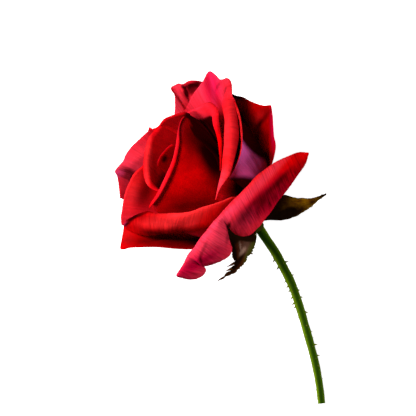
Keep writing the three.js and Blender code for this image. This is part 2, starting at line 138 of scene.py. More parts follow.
def blendColours(tree, factor, a, b):
    n = put(tree, "ShaderNodeMix", data_type="RGBA", blend_type="MIX")
    for key, source in ((0, factor), (6, a), (7, b)):
        if isinstance(source, tuple):
            n.inputs[key].default_value = (*source, 1)
        else:
            tree.links.new(source, n.inputs[key])
    return n.outputs[2]


def layColours(tree, colour, layers):      # one colour over the other, each as far as its factor says
    for factor, over in layers:
        colour = blendColours(tree, factor, colour, over)
    return colour


def ramp(tree, source, low, high, outLow=0.0, outHigh=1.0):
    n = put(tree, "ShaderNodeMapRange", {"Value": source},
            {"From Min": low, "From Max": high, "To Min": outLow, "To Max": outHigh})
    return n.outputs[0]


def mathNode(tree, operation, a, b):
    n = put(tree, "ShaderNodeMath", operation=operation)
    for key, source in ((0, a), (1, b)):
        if isinstance(source, (int, float)):
            n.inputs[key].default_value = source
        else:
            tree.links.new(source, n.inputs[key])
    return n.outputs[0]


def clouds(tree, scale, detail, roughness, vector=None):      # soft noise, in space or on a map
    vector = vector or put(tree, "ShaderNodeTexCoord").outputs["Object"]
    return put(tree, "ShaderNodeTexNoise", {"Vector": vector},
               {"Scale": scale, "Detail": detail, "Roughness": roughness}).outputs["Fac"]


def streaks(tree, across, lengthways, detail, roughness):      # noise drawn out along the flow map
    flow = put(tree, "ShaderNodeUVMap", uv_map="flow").outputs[0]
    stretch = put(tree, "ShaderNodeMapping", {"Vector": flow}, {"Scale": (across, lengthways, 1)})
    return clouds(tree, 1.0, detail, roughness, stretch.outputs[0])


def painted(tree, *keys):      # the values that the meshes carry
    return {key: put(tree, "ShaderNodeAttribute", attribute_name=key).outputs["Fac"] for key in keys}


def bumps(tree, *layers):      # relief as (height, (strength, distance)), each on the one before
    normal = {}
    for height, (strength, distance) in layers:
        n = put(tree, "ShaderNodeBump", {"Height": height, **normal},
                {"Strength": strength, "Distance": distance})
        normal = {"Normal": n.outputs[0]}
    return normal["Normal"]


# In the three looks, streaks are given as repeats per millimetre across and along the flow map,
# detail and roughness, clouds as repeats per metre, detail and roughness, reliefs as strength and
# distance in metres, and ramps as the noise values where they begin and end.
petalLook = {
    "deep": (0.36, 0.0, 0.0008),
    "bright": (0.66, 0.0, 0.001),
    # painted highlight, laid on lit ridges, rolls and tips
    "paintedLight": (0.92, 0.022, 0.026),
    # pink tint, partly the petal's own and partly painted sheen where light grazes the folds
    "pinkSheen": (0.74, 0.032, 0.072),
    "rose": (0.62, 0.0, 0.042),
    "outside": (0.60, 0.08, 0.32),
    # near-black red of painted shade in hollows, gaps and under rolls; veins and blotches darken
    # towards it too
    "darkAndPaintedShade": (0.022, 0.0, 0.0003),
    "edge": (0.16, 0.001, 0.006),
    "veins": (1.3, 0.07, 5.0, 0.62),
    "bands": (0.35, 0.05, 3.0, 0.5),
    "blotches": (1.5, 0.12, 4.0, 0.6),
    "cloud": (140.0, 3.0, 0.55),
    "grain": (3200.0, 2.0, 0.6),
    "veinRamp": (0.46, 0.72),
    "bandRamp": (0.45, 0.75),
    "blotchRamp": (0.34, 0.72),
    "cloudRamp": (0.35, 0.7),
    "bandAmount": 0.3,
    "roughness": (0.3, 0.7, 0.42, 0.6),      # veins from, to, roughness there
    "veinRelief": (0.5, 0.00035),
    "grainRelief": (0.35, 0.00008),
    "velvet": {"Specular IOR Level": 0.0, "Sheen Weight": 0.004, "Sheen Roughness": 0.35,
               "Sheen Tint": (1.0, 0.1, 0.2, 1), "Subsurface Weight": 0.05,
               "Subsurface Radius": (1.0, 0.12, 0.08), "Subsurface Scale": 0.0008},
}


def makePetalMaterial():
    look = petalLook
    mat, tree = newMaterial("petalVelvet")
    veins = streaks(tree, *look["veins"])
    grain = clouds(tree, *look["grain"])
    paint = painted(tree, "outside", "pinkSheen", "rose", "darkAndPaintedShade", "paintedLight", "mottledShade", "vein", "edge")
    veined = mathNode(tree, "MULTIPLY", ramp(tree, veins, *look["veinRamp"]), paint["vein"])
    bands = ramp(tree, streaks(tree, *look["bands"]), *look["bandRamp"])
    banded = mathNode(tree, "MULTIPLY", bands, look["bandAmount"])
    blotches = ramp(tree, streaks(tree, *look["blotches"]), *look["blotchRamp"])
    # blotches darkened towards the near-black red: partly the petal's own mottling, partly painted
    # shade along the rolls
    mottled = mathNode(tree, "MULTIPLY", blotches, paint["mottledShade"])
    cloudy = ramp(tree, clouds(tree, *look["cloud"]), *look["cloudRamp"])
    # painted highlight, pink with painted sheen and painted shade are laid over the petal's own tones
    colour = layColours(tree, look["bright"], [
        (cloudy, look["deep"]), (paint["paintedLight"], look["paintedLight"]), (paint["pinkSheen"], look["pinkSheen"]),
        (paint["rose"], look["rose"]), (paint["outside"], look["outside"]), (veined, look["darkAndPaintedShade"]),
        (banded, look["deep"]), (mottled, look["darkAndPaintedShade"]), (paint["darkAndPaintedShade"], look["darkAndPaintedShade"]),
        (paint["edge"], look["edge"])])
    normal = bumps(tree, (veins, look["veinRelief"]), (grain, look["grainRelief"]))
    rough = ramp(tree, veins, *look["roughness"])
    shadeWith(tree, {"Base Color": colour, "Roughness": rough, "Normal": normal}, look["velvet"])
    return mat


calyxLook = {
    "olive": (0.52, 0.24, 0.003),
    "brown": (0.12, 0.018, 0.006),
    "dark": (0.012, 0.004, 0.001),
    # painted sheen: a pale lit patch on the lower sepal
    "paintedSheen": (0.75, 0.42, 0.30),
    "rim": (0.13, 0.15, 0.010),
    "veins": (1.1, 0.09, 5.0, 0.6),
    "cloud": (260.0, 5.0, 0.6),
    "grain": (2600.0, 3.0, 0.6),
    "veinRamp": (0.45, 0.7),
    "cloudRamp": (0.4, 0.7),
    "veinAmount": 0.5,
    "roughness": (0.3, 0.7, 0.42, 0.62),
    "veinRelief": (0.6, 0.0004),
    "grainRelief": (0.4, 0.0001),
}


def makeCalyxMaterial():
    look = calyxLook
    mat, tree = newMaterial("sepalSkin")
    veins = streaks(tree, *look["veins"])
    grain = clouds(tree, *look["grain"])
    paint = painted(tree, "brown", "dark", "paintedSheen", "rim")
    veined = mathNode(tree, "MULTIPLY", ramp(tree, veins, *look["veinRamp"]), look["veinAmount"])
    cloudy = ramp(tree, clouds(tree, *look["cloud"]), *look["cloudRamp"])
    # painted sheen is laid over the sepals' own olive and brown
    colour = layColours(tree, look["olive"], [
        (cloudy, look["brown"]), (paint["brown"], look["brown"]), (paint["rim"], look["rim"]),
        (paint["paintedSheen"], look["paintedSheen"]), (veined, look["dark"]), (paint["dark"], look["dark"])])
    normal = bumps(tree, (veins, look["veinRelief"]), (grain, look["grainRelief"]))
    rough = ramp(tree, veins, *look["roughness"])
    shadeWith(tree, {"Base Color": colour, "Roughness": rough, "Normal": normal},
              {"Specular IOR Level": 0.0})
    return mat


stemLook = {
    "green": (0.035, 0.085, 0.002),
    "light": (0.17, 0.24, 0.006),
    "dark": (0.006, 0.022, 0.001),
    "tip": (0.16, 0.10, 0.02),
    "cut": (0.45, 0.50, 0.22),
    "fibres": (1.6, 0.07, 5.0, 0.6),
    "cloud": (190.0, 4.0, 0.55),
    "grain": (2400.0, 3.0, 0.6),
    "fibreRamp": (0.48, 0.72),
    "fibreAmount": 0.45,
    "lightRamp": (0.3, 0.6, 0.6, 1.0),
    "roughness": (0.3, 0.7, 0.36, 0.52),
    "fibreRelief": (0.5, 0.0003),
    "grainRelief": (0.3, 0.00008),
    "rind": {"Specular IOR Level": 0.0, "Subsurface Weight": 0.04,
             "Subsurface Radius": (0.5, 1.0, 0.2), "Subsurface Scale": 0.0008},
}


def makeStemMaterial():
    look = stemLook
    mat, tree = newMaterial("stemRind")
    fibres = streaks(tree, *look["fibres"])
    cloud = clouds(tree, *look["cloud"])
    grain = clouds(tree, *look["grain"])
    paint = painted(tree, "tip", "cut", "lit", "shade")
    lit = mathNode(tree, "MULTIPLY", paint["lit"], ramp(tree, cloud, *look["lightRamp"]))
    fibrous = mathNode(tree, "MULTIPLY", ramp(tree, fibres, *look["fibreRamp"]), look["fibreAmount"])
    colour = layColours(tree, look["green"], [
        (lit, look["light"]), (paint["shade"], look["dark"]), (fibrous, look["dark"]),
        (paint["tip"], look["tip"]), (paint["cut"], look["cut"])])
    normal = bumps(tree, (fibres, look["fibreRelief"]), (grain, look["grainRelief"]))
    rough = ramp(tree, cloud, *look["roughness"])
    shadeWith(tree, {"Base Color": colour, "Roughness": rough, "Normal": normal}, look["rind"])
    return mat


petalMaterial = makePetalMaterial()
calyxMaterial = makeCalyxMaterial()
stemMaterial = makeStemMaterial()
print("materials ready")


# Meshes

def addObject(name, data):
    obj = bpy.data.objects.new(name, data)
    bpy.context.scene.collection.objects.link(obj)
    return obj


def addPiece(name, mesh, node):
    obj = addObject(name, mesh)
    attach(obj, "root")
    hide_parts(node)


def addFlow(mesh, uv):      # the map that the streaks of a material follow, one place for each point
    layer = mesh.uv_layers.new(name="flow")
    corner = np.empty(len(mesh.loops), int)
    mesh.loops.foreach_get("vertex_index", corner)
    layer.data.foreach_set("uv", uv[corner].ravel())


def addValues(mesh, key, values, domain="POINT"):
    data = mesh.attributes.new(key, "FLOAT", domain)
    data.data.foreach_set("value", np.asarray(values, float))


def shellVolume(points, faces):      # signed, so that a shell turned inside out is negative
    fan = np.array([(face[0], face[k], face[k + 1]) for face in faces for k in range(1, len(face) - 1)])
    a, b, c = (points[fan[:, k]] for k in range(3))
    return np.sum(np.cross(a, b) * c)


def meshPiece(name, points, faces, uv, values, material, node):
    place = (points + np.array(flower["shift"])) * mm
    place[:, 2] = np.maximum(place[:, 2], flower["clear"] * mm)
    mesh = bpy.data.meshes.new(name)
    mesh.from_pydata(place.tolist(), [], faces)
    mesh.validate()
    addFlow(mesh, uv)
    for key in values:
        addValues(mesh, key, values[key])
    mesh.polygons.foreach_set("use_smooth", [True] * len(mesh.polygons))
    mesh.materials.append(material)
    if shellVolume(place, faces) < 0:      # its faces look inwards
        mesh.flip_normals()
    addPiece(name, mesh, node)


def gridNormals(grid):
    u = np.gradient(grid, axis=0)
    v = np.gradient(grid, axis=1)
    return unit(np.cross(u, v))


def bladeFaces(wide, long):      # both faces of a grid and the strip round its border
    at = np.arange(wide * long).reshape(wide, long)
    a, b, c, d = at[:-1, :-1], at[1:, :-1], at[1:, 1:], at[:-1, 1:]
    upper = np.stack([a, b, c, d], axis=-1).reshape(-1, 4)
    lower = np.stack([a, d, c, b], axis=-1).reshape(-1, 4) + wide * long
    border = np.concatenate([at[:-1, 0], at[-1, :-1], at[:0:-1, -1], at[0, :0:-1]])
    after = np.roll(border, -1)
    rim = np.stack([border, border + wide * long, after + wide * long, after], axis=-1)
    return np.vstack([upper, lower, rim]).tolist()


def blade(grid, normal, thick, across, rising):      # points, faces and flow map of a closed blade
    offset = normal * thick / 2
    points = np.concatenate([(grid + offset).reshape(-1, 3), (grid - offset).reshape(-1, 3)])
    uv = np.stack(np.broadcast_arrays(across, rising), axis=-1).reshape(-1, 2)
    return points, bladeFaces(*grid.shape[:2]), np.concatenate([uv, uv])


def facesValues(shape, upper, lower):      # the painted values of a blade's two faces
    return np.concatenate([np.clip(np.broadcast_to(v, shape), 0, 1).ravel() for v in (upper, lower)])


def patch(mark, grid, usual=0.6):      # a soft ellipse of colour, placed as the front view shows it
    cx, cy, length, width, angle, strength, *own = mark
    soft = own[0] if own else usual
    dx, dy = grid[..., 0] - cx, grid[..., 1] - cy
    c, s = math.cos(angle * degree), math.sin(angle * degree)
    r = np.sqrt(((dx * c + dy * s) / length) ** 2 + ((dy * c - dx * s) / width) ** 2)
    return strength * (1 - smooth(1 - soft, 1 + soft, r))


# The petals, from the bud outwards. Short lists run along the rim, turns are in degrees.
# layer: how far out and down the claw sits on the hip
# middle: the turn at which the petal stands round the flower
# pinch: how wide the claw is beside the rim, both as turns
# spread, lean: how far the blade heads away from the axis at its claw and at its rim
# footPull, rimPull: how long it keeps those two ways, as shares of its length
# arrive: how far it comes to its rim straight towards the viewer instead
# lip, roll: radius and turn of a rolled lip
# lift, under, edge: how far a wide roll stands up, its turn, and where it ends as [x, y, z]
# wavy, folds: how strong the waves are, and creases as [place along the rim, width, depth]
# vein, outside: how strong the veins are, and the paler colour of the petal's outside
# pink with painted sheen, painted shade, inner: how far the colour leans each way, inner being painted
# shade on the inside up to innerFrom
# brightLip, edgeShade: how free of painted shade the lip is, and how dark the line of the rim is
# marks: patches of colour as [x, y, length, width, turn, strength, softness], painted highlights and
# painted shade among them
# rim: [x, y, height along the axis], or [turn, distance, height] for the polar petals at the back
petals = [
    {"name": "petal_heart_left", "layer": 0, "middle": 190, "pinch": 0.5, "footPull": 0.5,
     "rimPull": 0.4, "spread": 30, "lean": -15, "vein": 0.15, "darkAndPaintedShade": 0.2,
     "marks": {"darkAndPaintedShade": [[-35, 25.3, 1.5, 1, 60, 0.75, 0.5]]},
     "rim": [[-37.9, 22.4, 43.5], [-37.5, 24.4, 44.6], [-36.6, 26.4, 45.2], [-35.2, 28.3, 45.8],
             [-33.6, 30, 45.8], [-32, 31, 45.4]]},
    {"name": "petal_bud_left", "layer": 1, "middle": 215, "pinch": 0.45, "footPull": 0.49,
     "rimPull": 0.4, "spread": [41, 48, 45], "lean": [-10, -12, -15, -15], "lip": 1.35,
     "roll": [60, 120, 120, 120, 60], "vein": 0.2, "pinkSheen": 0.05, "brightLip": 1,
     "marks": {"darkAndPaintedShade": [[-36.5, 16, 4.5, 1.6, 70, 0.7]],
               "paintedLight": [[-41.5, 24, 11, 1.3, 88, 0.6]]},
     "rim": [[-35.6, 38, 49], [-38.9, 33.5, 49], [-40.2, 29.5, 48], [-41.1, 23, 46.6],
             [-40.4, 17, 44.5], [-38.8, 14.4, 43], [-36.3, 12.4, 41.5], [-33, 11.5, 39.5]]},
    {"name": "petal_bud_front", "layer": 2, "middle": 19, "sections": 16, "pinch": 0.5,
     "footPull": 0.42, "rimPull": 0.2, "spread": [44, 44, 49], "lean": [-30, -35, -30, -20, -15, -10],
     "lip": [1.1, 1.4, 0.95, 0.7, 0.3, 0.2], "roll": [180, 195, 195, 120, 60, 30], "wavy": 0.35,
     "vein": 0.08, "outside": 0, "darkAndPaintedShade": [0, 0, 0, 0, 0, 0, 0.2, 0.6, 0.8, 0.9],
     "brightLip": [1, 1, 1, 1, 0, 0, 0, 0],
     "marks": {"darkAndPaintedShade": [[-20.5, 31.5, 12, 5.2, -47, 0.85, 0.8], [-14.6, 20, 8, 3.4, -66, 0.7, 0.9],
                        [-19.4, 35.6, 9, 1.7, -50, 1, 0.3], [-27, 8, 13, 3.4, 8, 0.5, 0.9],
                        [-27, 6, 12, 1.6, 8, 0.3, 0.9], [-7, 14, 6, 4, 20, 0.9, 0.7]],
               "pinkSheen": [[-33, 25, 17, 1.7, 72, 0.25, 0.9]]},
     "rim": [[-39.8, 6.4, 41], [-36.2, 11.4, 43.5], [-31.6, 21.3, 46], [-29.6, 30.5, 47.3],
             [-29.3, 35, 48], [-28.6, 39, 48.5], [-27, 41.8, 48.6], [-25.4, 39.8, 45.8],
             [-22.6, 34.5, 41], [-18.5, 30.3, 36.8], [-15, 26.5, 33.2], [-13.2, 22, 29.5]]},
    {"name": "petal_bud_back", "layer": 3, "middle": 147, "sections": 10, "pinch": 0.5,
     "footPull": 0.47, "rimPull": 0.3, "spread": [33, 35, 50], "lean": [-5, -10, -15], "lip": 0.6,
     "roll": 90, "vein": 0.2, "pinkSheen": 0.05, "darkAndPaintedShade": [0.7, 0.3, 0, 0, 0, 0, 0],
     "marks": {"darkAndPaintedShade": [[-21, 38, 7, 4.5, -40, 1, 0.3], [-35, 25.3, 1.5, 1, 60, 0.75, 0.5],
                        [-32, 39, 6, 2.6, 20, 0.15, 0.9]]},
     "rim": [[-24.6, 42.4, 46.8], [-26, 43, 47.8], [-28.5, 42.7, 48.8], [-31.5, 41.9, 49.5],
             [-34.5, 40.5, 49.8], [-36.8, 38.2, 48.5], [-38.6, 36, 46], [-40, 32.5, 43.5]]},
    {"name": "petal_inner_left", "layer": 3, "middle": 201, "pinch": 0.75, "footPull": 0.45,
     "rimPull": 0.32, "spread": [59, 60, 51], "lean": [5, 10, 25, 40, 40], "lip": 0.5,
     "roll": [60, 120, 120, 90, 40], "vein": 0.2, "pinkSheen": [0, 0.05, 0.15, 0.4], "edgeShade": 0.4,
     "marks": {"darkAndPaintedShade": [[-42.8, 12, 6.5, 3, 72, 0.8, 0.9]],
               "paintedLight": [[-48.2, 12.6, 7, 2.8, 74, 0.6, 0.9]]},
     "rim": [[-41.5, 24.5, 44], [-43.3, 22, 44], [-45.4, 20.2, 43.8], [-47.5, 17.6, 43.2],
             [-50.2, 11.5, 41.5], [-51, 8, 40.5], [-52, 1.5, 39], [-52, -1.2, 38.3]]},
    {"name": "petal_inner_right", "layer": 4, "middle": 50, "sections": 14, "pinch": 0.5,
     "footPull": 0.42, "rimPull": 0.2, "spread": [43, 53, 48], "lean": [10, 20, 35, 15, 10],
     "lip": [0.5, 0.8, 1.5, 1, 0.4], "roll": [40, 90, 140, 150, 120], "vein": 0.15,
     "pinkSheen": [0.3, 0.4, 0.2, 0, 0], "inner": [0.9, 1, 1, 1, 1, 1],
     "innerFrom": [0.84, 0.85, 0.86, 0.87, 0.89, 0.9],
     "marks": {"darkAndPaintedShade": [[-11.8, 27, 10, 1.2, 86, 0.45, 0.9], [-12.6, 38, 5, 1, 64, 0.35, 0.9]]},
     "rim": [[-26, 43.6, 42.5], [-24, 44, 44.2], [-21.5, 44.6, 46], [-17.9, 45.6, 46],
             [-16, 43.2, 44.5], [-15.6, 39.6, 43], [-14.3, 35.3, 41], [-13.3, 31, 39],
             [-12.7, 25, 35.6], [-12.6, 20.5, 32.4]]},
    {"name": "petal_tall_right", "layer": 5, "middle": 84, "sections": 18, "pinch": 0.5,
     "footPull": 0.5, "rimPull": 0.2, "spread": [49, 56, 51], "lean": [15, 30, 40, 45, 45, 38, 25, 15],
     "lip": [0.4, 0.4, 0.4, 0.5, 2.6, 2.8, 2.3, 0.6], "roll": [20, 40, 60, 100, 170, 170, 170, 90],
     "vein": 0.35, "pinkSheen": [0.3, 0.5, 0.8, 0.8, 0.3, 0.1, 0.1, 0, 0], "brightLip": 0.6,
     "marks": {"rose": [[-16, 54, 7, 3, 100, 0.85, 0.8]],
               "outside": [[-15.6, 52, 5, 0.9, 98, 0.12, 0.9]],
               "darkAndPaintedShade": [[-9.9, 52.5, 2.5, 1, 70, 0.6], [-13.4, 54.6, 2.2, 0.6, 62, 0.5],
                        [-5.4, 33, 15, 1.9, 90, 1, 0.9], [-5, 13, 5, 4, 20, 0.9, 0.7]],
               "paintedLight": [[-9.3, 34, 16, 2.2, 88, 0.5, 0.9], [-12.6, 14.5, 6, 2, 68, 0.9, 0.8]],
               "pinkSheen": [[-12.6, 15, 6, 2, 68, 0.4, 0.9]]},
     "rim": [[-26.8, 44.6, 39], [-25.3, 47.5, 42.5], [-23.1, 51, 46], [-19.5, 56, 49],
             [-17.3, 59.7, 50], [-15, 58.2, 49.5], [-13, 56, 48.4], [-10.2, 56.4, 47.6],
             [-9.9, 53.5, 46.5], [-11.6, 48, 44.8], [-11.1, 42, 42.7], [-11, 35, 40], [-11.2, 28, 37],
             [-12, 20.5, 33.5], [-13.4, 13.5, 30.5], [-14.3, 8.8, 28]]},
    {"name": "petal_rim_right", "layer": 6, "middle": 20, "pinch": 0.6, "footPull": 0.65,
     "rimPull": 0.2, "spread": [74, 67, 69], "lean": [55, 50, 45, 35, 20, 10], "lip": 0.6, "roll": 90,
     "vein": 0.2, "outside": 1, "pinkSheen": 0.05, "brightLip": 1,
     "marks": {"darkAndPaintedShade": [[3.4, 36, 14, 8.4, -52, 1, 0.12], [-3, 13.2, 12, 5, -6, 1, 0.25]],
               "paintedLight": [[-5, 36, 12, 2.2, 90, 0.5]]},
     "rim": [[-8.6, 48.9, 43.6], [-6.8, 45.6, 41.2], [-5.5, 41.9, 39.2], [-4.6, 36, 36.2],
             [-4.5, 30.9, 33.6], [-5.2, 25.5, 31.2], [-6.7, 21.5, 30], [-9, 17.5, 29.3]]},
    {"name": "petal_outer_left", "layer": 5, "middle": 194, "sections": 16, "pinch": 0.76,
     "footPull": 0.39, "rimPull": 0.44, "spread": [48, 48, 60], "lean": [10, 15, 30, 45, 20, 10],
     "lip": 0.6, "roll": [40, 60, 60, 30, 60], "vein": 0.3, "pinkSheen": [0.1, 0.3, 0.5, 0.8, 0.5, 0.3],
     "edgeShade": 0.5,
     "marks": {"darkAndPaintedShade": [[-49.2, 19.2, 3.2, 2, -40, 0.8, 0.9], [-51.4, 13, 5, 1, 84, 0.35, 0.9],
                        [-47.4, 17.4, 4, 1.2, 60, 0.7, 0.9], [-45.5, 23.5, 4, 1.5, 40, 0.4]],
               "mottledShade": [[-50, 20, 4, 3, 0, 0.9]],
               "outside": [[-53.5, 19.5, 2.4, 1.5, 20, 0.3]],
               "paintedLight": [[-46.5, 26.5, 6, 2.5, 35, 0.7, 0.8]]},
     "rim": [[-36, 38.5, 42], [-38.4, 37.6, 43], [-39.7, 37.1, 43.5], [-40.8, 37.7, 43.8],
             [-41.2, 36.1, 44], [-42.5, 35, 44.5], [-45.5, 32.4, 45.2], [-50.2, 26.8, 46],
             [-51.3, 24.3, 46], [-54.8, 20.2, 45.2], [-54, 18.6, 44.4], [-52.8, 13, 42],
             [-52.4, 9.5, 41]]},
    {"name": "petal_rolled_front", "layer": 5, "middle": -15, "pinch": 0.6, "footPull": 0.63,
     "rimPull": 0.2, "spread": [30, 66, 60], "lean": 20, "arrive": [0.5, 0.8, 0.8, 0.8, 0.6],
     "lift": [0.6, 3.6, 5, 5, 4, 2.5, 1.5], "under": 200, "vein": 0.32, "pinkSheen": 0,
     "marks": {"mottledShade": [[-42, 0.5, 11, 3, -4, 0.45], [-28, 0.5, 10, 3, 5, 0.25]],
               "paintedLight": [[-22, 3.6, 17, 3.6, 12, 1, 0.8], [-38, -0.6, 7, 1.6, -4, 0.3, 0.9],
                        [-17, 4.5, 13, 4, 20, 0.9, 0.8]],
               "darkAndPaintedShade": [[-42, 1.6, 10, 2, 0, 0.4, 0.9], [-46, -2.4, 7, 1.4, -12, 0.5, 0.9],
                        [-46, 2.4, 7, 0.7, 22, 0.6, 0.5], [-49, 0, 3, 0.6, 40, 0.6, 0.6],
                        [-30, -3.9, 17, 1.6, 4, 0.7, 0.8]],
               "outside": [[-51, -1, 1.6, 0.8, 40, 0.2]]},
     "rim": [[-51.9, -1.1, 37.2], [-49.3, 0.9, 38.5], [-46.4, 2.7, 39.3], [-42.5, 4, 39.7],
             [-35, 3.4, 38.3], [-25, 4, 34.8], [-20, 5.7, 32.2], [-15, 7.4, 29.2], [-10.5, 8.8, 25.4],
             [-7.5, 9.8, 22.5], [-4, 9.6, 18.4]],
     "edge": [[-51.7, -1.3, 8], [-49.4, -3.1, 9], [-45.8, -4.8, 11.5], [-42, -5.4, 14.5],
              [-36, -4.9, 19], [-27.7, -3.6, 25], [-22, -3.4, 27], [-16, -0.5, 27.5], [-12, 3, 27],
              [-8.5, 6, 25.5], [-5, 7, 23]]},
    {"name": "petal_lower", "layer": 6, "middle": -31, "pinch": 0.72, "footPull": 0.44, "rimPull": 0.37,
     "spread": [60, 69, 66], "lean": [50, 60, 60, 50, 50], "lip": 0.6, "roll": 40, "vein": 0.2,
     "edgeShade": 0.4,
     "marks": {"darkAndPaintedShade": [[-30, -8.4, 16, 3, -2, 0.85, 0.9], [-15, -8, 8, 3, 0, 0.5]],
               "paintedLight": [[-50, -6, 3, 3, 0, 0.2, 0.8]]},
     "rim": [[-50.4, 2, 34.2], [-50.9, -2, 35.6], [-51.6, -6, 36.5], [-52.2, -10.7, 36.8],
             [-48, -10.1, 34.3], [-38, -9.8, 28], [-32, -10.3, 24.4], [-26, -10.6, 21],
             [-20, -10.4, 16.6], [-14, -8.5, 12]]},
    {"name": "petal_top", "layer": 6, "middle": 139, "sections": 14, "pinch": 0.6, "footPull": 0.29,
     "rimPull": 0.27, "spread": [62, 48, 53], "lean": [20, 35, 30, 20], "lip": 0.6, "roll": 40,
     "folds": [[0.42, 0.035, -1.3]], "vein": 0.35, "pinkSheen": [0.3, 0.4, 0.4, 0.3, 0.3, 0.2],
     "edgeShade": 0.5,
     "marks": {"darkAndPaintedShade": [[-26.3, 51.8, 4, 0.7, -68, 0.65], [-23.4, 53.8, 4.2, 2.1, 40, 0.9, 0.6],
                        [-27.6, 54.4, 1.4, 0.5, 0, 0.4], [-24.6, 55, 3.4, 1, 10, 0.6, 0.8]],
               "paintedLight": [[-29.4, 46.5, 8, 1.8, 88, 1, 0.8]],
               "pinkSheen": [[-29.8, 47.5, 7, 1.5, 88, 0.5, 0.9]]},
     "rim": [[-30.2, 38, 37], [-30.7, 42.5, 40], [-30.5, 46.5, 42], [-30.9, 51, 44], [-32.3, 54, 45],
             [-30, 55.3, 45], [-27.5, 55.1, 44.5], [-25, 56.3, 44.5], [-22.5, 56.4, 44],
             [-19.5, 55.8, 43], [-15, 54, 41], [-11, 51, 38]]},
    {"name": "petal_right_outer", "layer": 8, "middle": 80, "sections": 16, "pinch": 0.6,
     "footPull": 0.47, "rimPull": 0.35, "spread": [81, 76, 70], "lean": [40, 50, 55, 60, 60, 60],
     "lip": [0.5, 0.6, 0.4, 0.6, 0.6], "roll": [30, 60, 60, 80, 60], "vein": 0.25, "edgeShade": 0.3,
     "marks": {"darkAndPaintedShade": [[-3.4, 36, 15, 2.8, -80, 0.9, 0.8], [5.6, 44.4, 2.4, 1.5, 30, 0.3, 0.9],
                        [4.2, 40.6, 4.5, 0.9, 50, 0.6, 0.9], [2, 32, 7, 0.9, 82, 0.55, 0.9],
                        [-8, 50.8, 5, 1.6, -10, 0.6], [5.5, 25, 4, 3, 0, 0.6],
                        [5, 35, 9, 3, 95, 0.2, 0.9]],
               "paintedLight": [[1, 40.4, 5, 1.8, 40, 0.3, 0.9], [-0.6, 34, 5, 1.3, 75, 0.3, 0.9]],
               "rose": [[8.2, 38, 8, 0.8, 92, 0.8, 0.8]]},
     "rim": [[-13, 50, 35.5], [-9.5, 51.3, 35], [-6, 49.8, 34], [-3.5, 49.2, 32.8], [-0.5, 47.6, 31],
             [5, 45.9, 28], [6.7, 46.2, 27.2], [7.3, 46.2, 27], [7.5, 45.4, 26.5], [7.8, 42.4, 25],
             [8.1, 34, 20.5], [8.9, 30, 18.5], [8.4, 26, 16.5], [7.6, 23, 15]]},
    {"name": "petal_reflexed_front", "layer": 7, "middle": -8, "columns": 190, "pinch": 0.5,
     "footPull": 0.45, "rimPull": 0.27, "spread": [86, 89, 82, 68, 60], "lean": 40, "arrive": 1,
     "lift": [0.5, 3, 5, 6, 6, 5, 3.5, 2], "under": 200, "vein": 0.5,
     "pinkSheen": [0, 0, 0.1, 0.35, 0.7, 0.9, 1],
     "marks": {"mottledShade": [[4.5, 7.6, 15, 3.2, 42, 1, 0.7], [-16.5, -12, 5, 3.4, 40, 0.7],
                          [-24, -19.5, 5, 2.6, 30, 0.5], [16, 20, 8, 1.6, 45, 0.5]],
               "paintedLight": [[1.5, 14.2, 17, 1.9, 46, 1, 0.9], [-14, -6.6, 8, 4, 50, 1, 0.9],
                        [0, -1.4, 6, 2.2, 42, 0.8, 0.9], [-22, -15.6, 5, 3, 60, 0.8, 0.9]],
               "pinkSheen": [[1, 13.6, 17, 1.4, 46, 0.6, 0.9], [-13, -1, 9, 1.6, 48, 0.5],
                        [-3, 1, 5, 3, 45, 0.5], [-13.4, -6.8, 6, 3, 54, 0.7, 0.9]],
               "darkAndPaintedShade": [[5.8, 8.8, 13, 2.6, 42, 0.45, 0.9], [2.6, 9.6, 4.5, 1.2, 42, 0.5, 0.8],
                        [10.4, 16.2, 5.5, 1.2, 44, 0.6, 0.8], [4, 8, 3, 1, 48, 0.35, 0.9],
                        [14, 20.5, 5, 0.8, 45, 0.2, 0.9], [-3.6, 2.6, 4.6, 1.5, 50, 0.5, 0.9],
                        [-9.4, -1.6, 1.8, 0.7, 70, 0.9], [-19.9, -12, 4.6, 0.6, 66, 0.5, 0.9],
                        [-20.4, -15.2, 1.5, 0.5, 100, 0.6, 0.8], [-17.8, -14.4, 2.8, 1, 28, 0.45, 0.9],
                        [-9.9, -6.2, 3, 0.7, 80, 0.5, 0.9], [-14.5, -16.4, 5.5, 0.8, 8, 0.5],
                        [-26, -22.8, 5, 0.6, -8, 0.3], [-27, -19, 4, 2, 40, 0.2, 0.9]],
               "rose": [[4, 6, 14, 5, 42, 0.5, 0.9], [-17, -13.8, 6, 2.6, 28, 0.8, 0.9],
                        [-26, -19, 6, 3.5, 30, 0.9, 0.9]]},
     "rim": [[22.4, 27.7, 9], [19, 27.8, 11.2], [14, 26, 14.8], [9, 23.6, 18.4], [4, 20.2, 21.6],
             [0, 16.3, 24], [-4, 12.2, 26], [-8, 8.1, 27.3], [-10, 6, 27.5], [-12, 4, 27.6],
             [-13.6, 2.1, 27.5], [-15.2, 0.3, 27.2], [-17, -2, 26.6], [-18.7, -4.1, 26],
             [-20.5, -6.4, 25.4], [-22.3, -8.8, 24.6], [-23.6, -10.6, 24], [-24.6, -12.1, 23.4],
             [-25.4, -13.3, 23], [-26.4, -14.9, 22.4], [-27.6, -16.9, 21.6], [-28.6, -18.5, 21.1],
             [-29.5, -20, 20.6], [-30.3, -21.3, 20]],
     "edge": [[22.6, 27.2, 29], [21.3, 23.5, 29], [17.6, 18, 29], [13.5, 12.5, 30.5], [9.5, 7.2, 31.5],
              [5.5, 2, 32], [2.9, -1.6, 32], [-1, -4.9, 31], [-4.6, -5.4, 30], [-7.8, -3.9, 30],
              [-9.5, -1.5, 31], [-9.8, -3.6, 31.5], [-9, -7.6, 30], [-8.2, -10.4, 28.4],
              [-9.2, -13.2, 27], [-12, -15.6, 25.6], [-16, -17, 25], [-19.6, -17.4, 25],
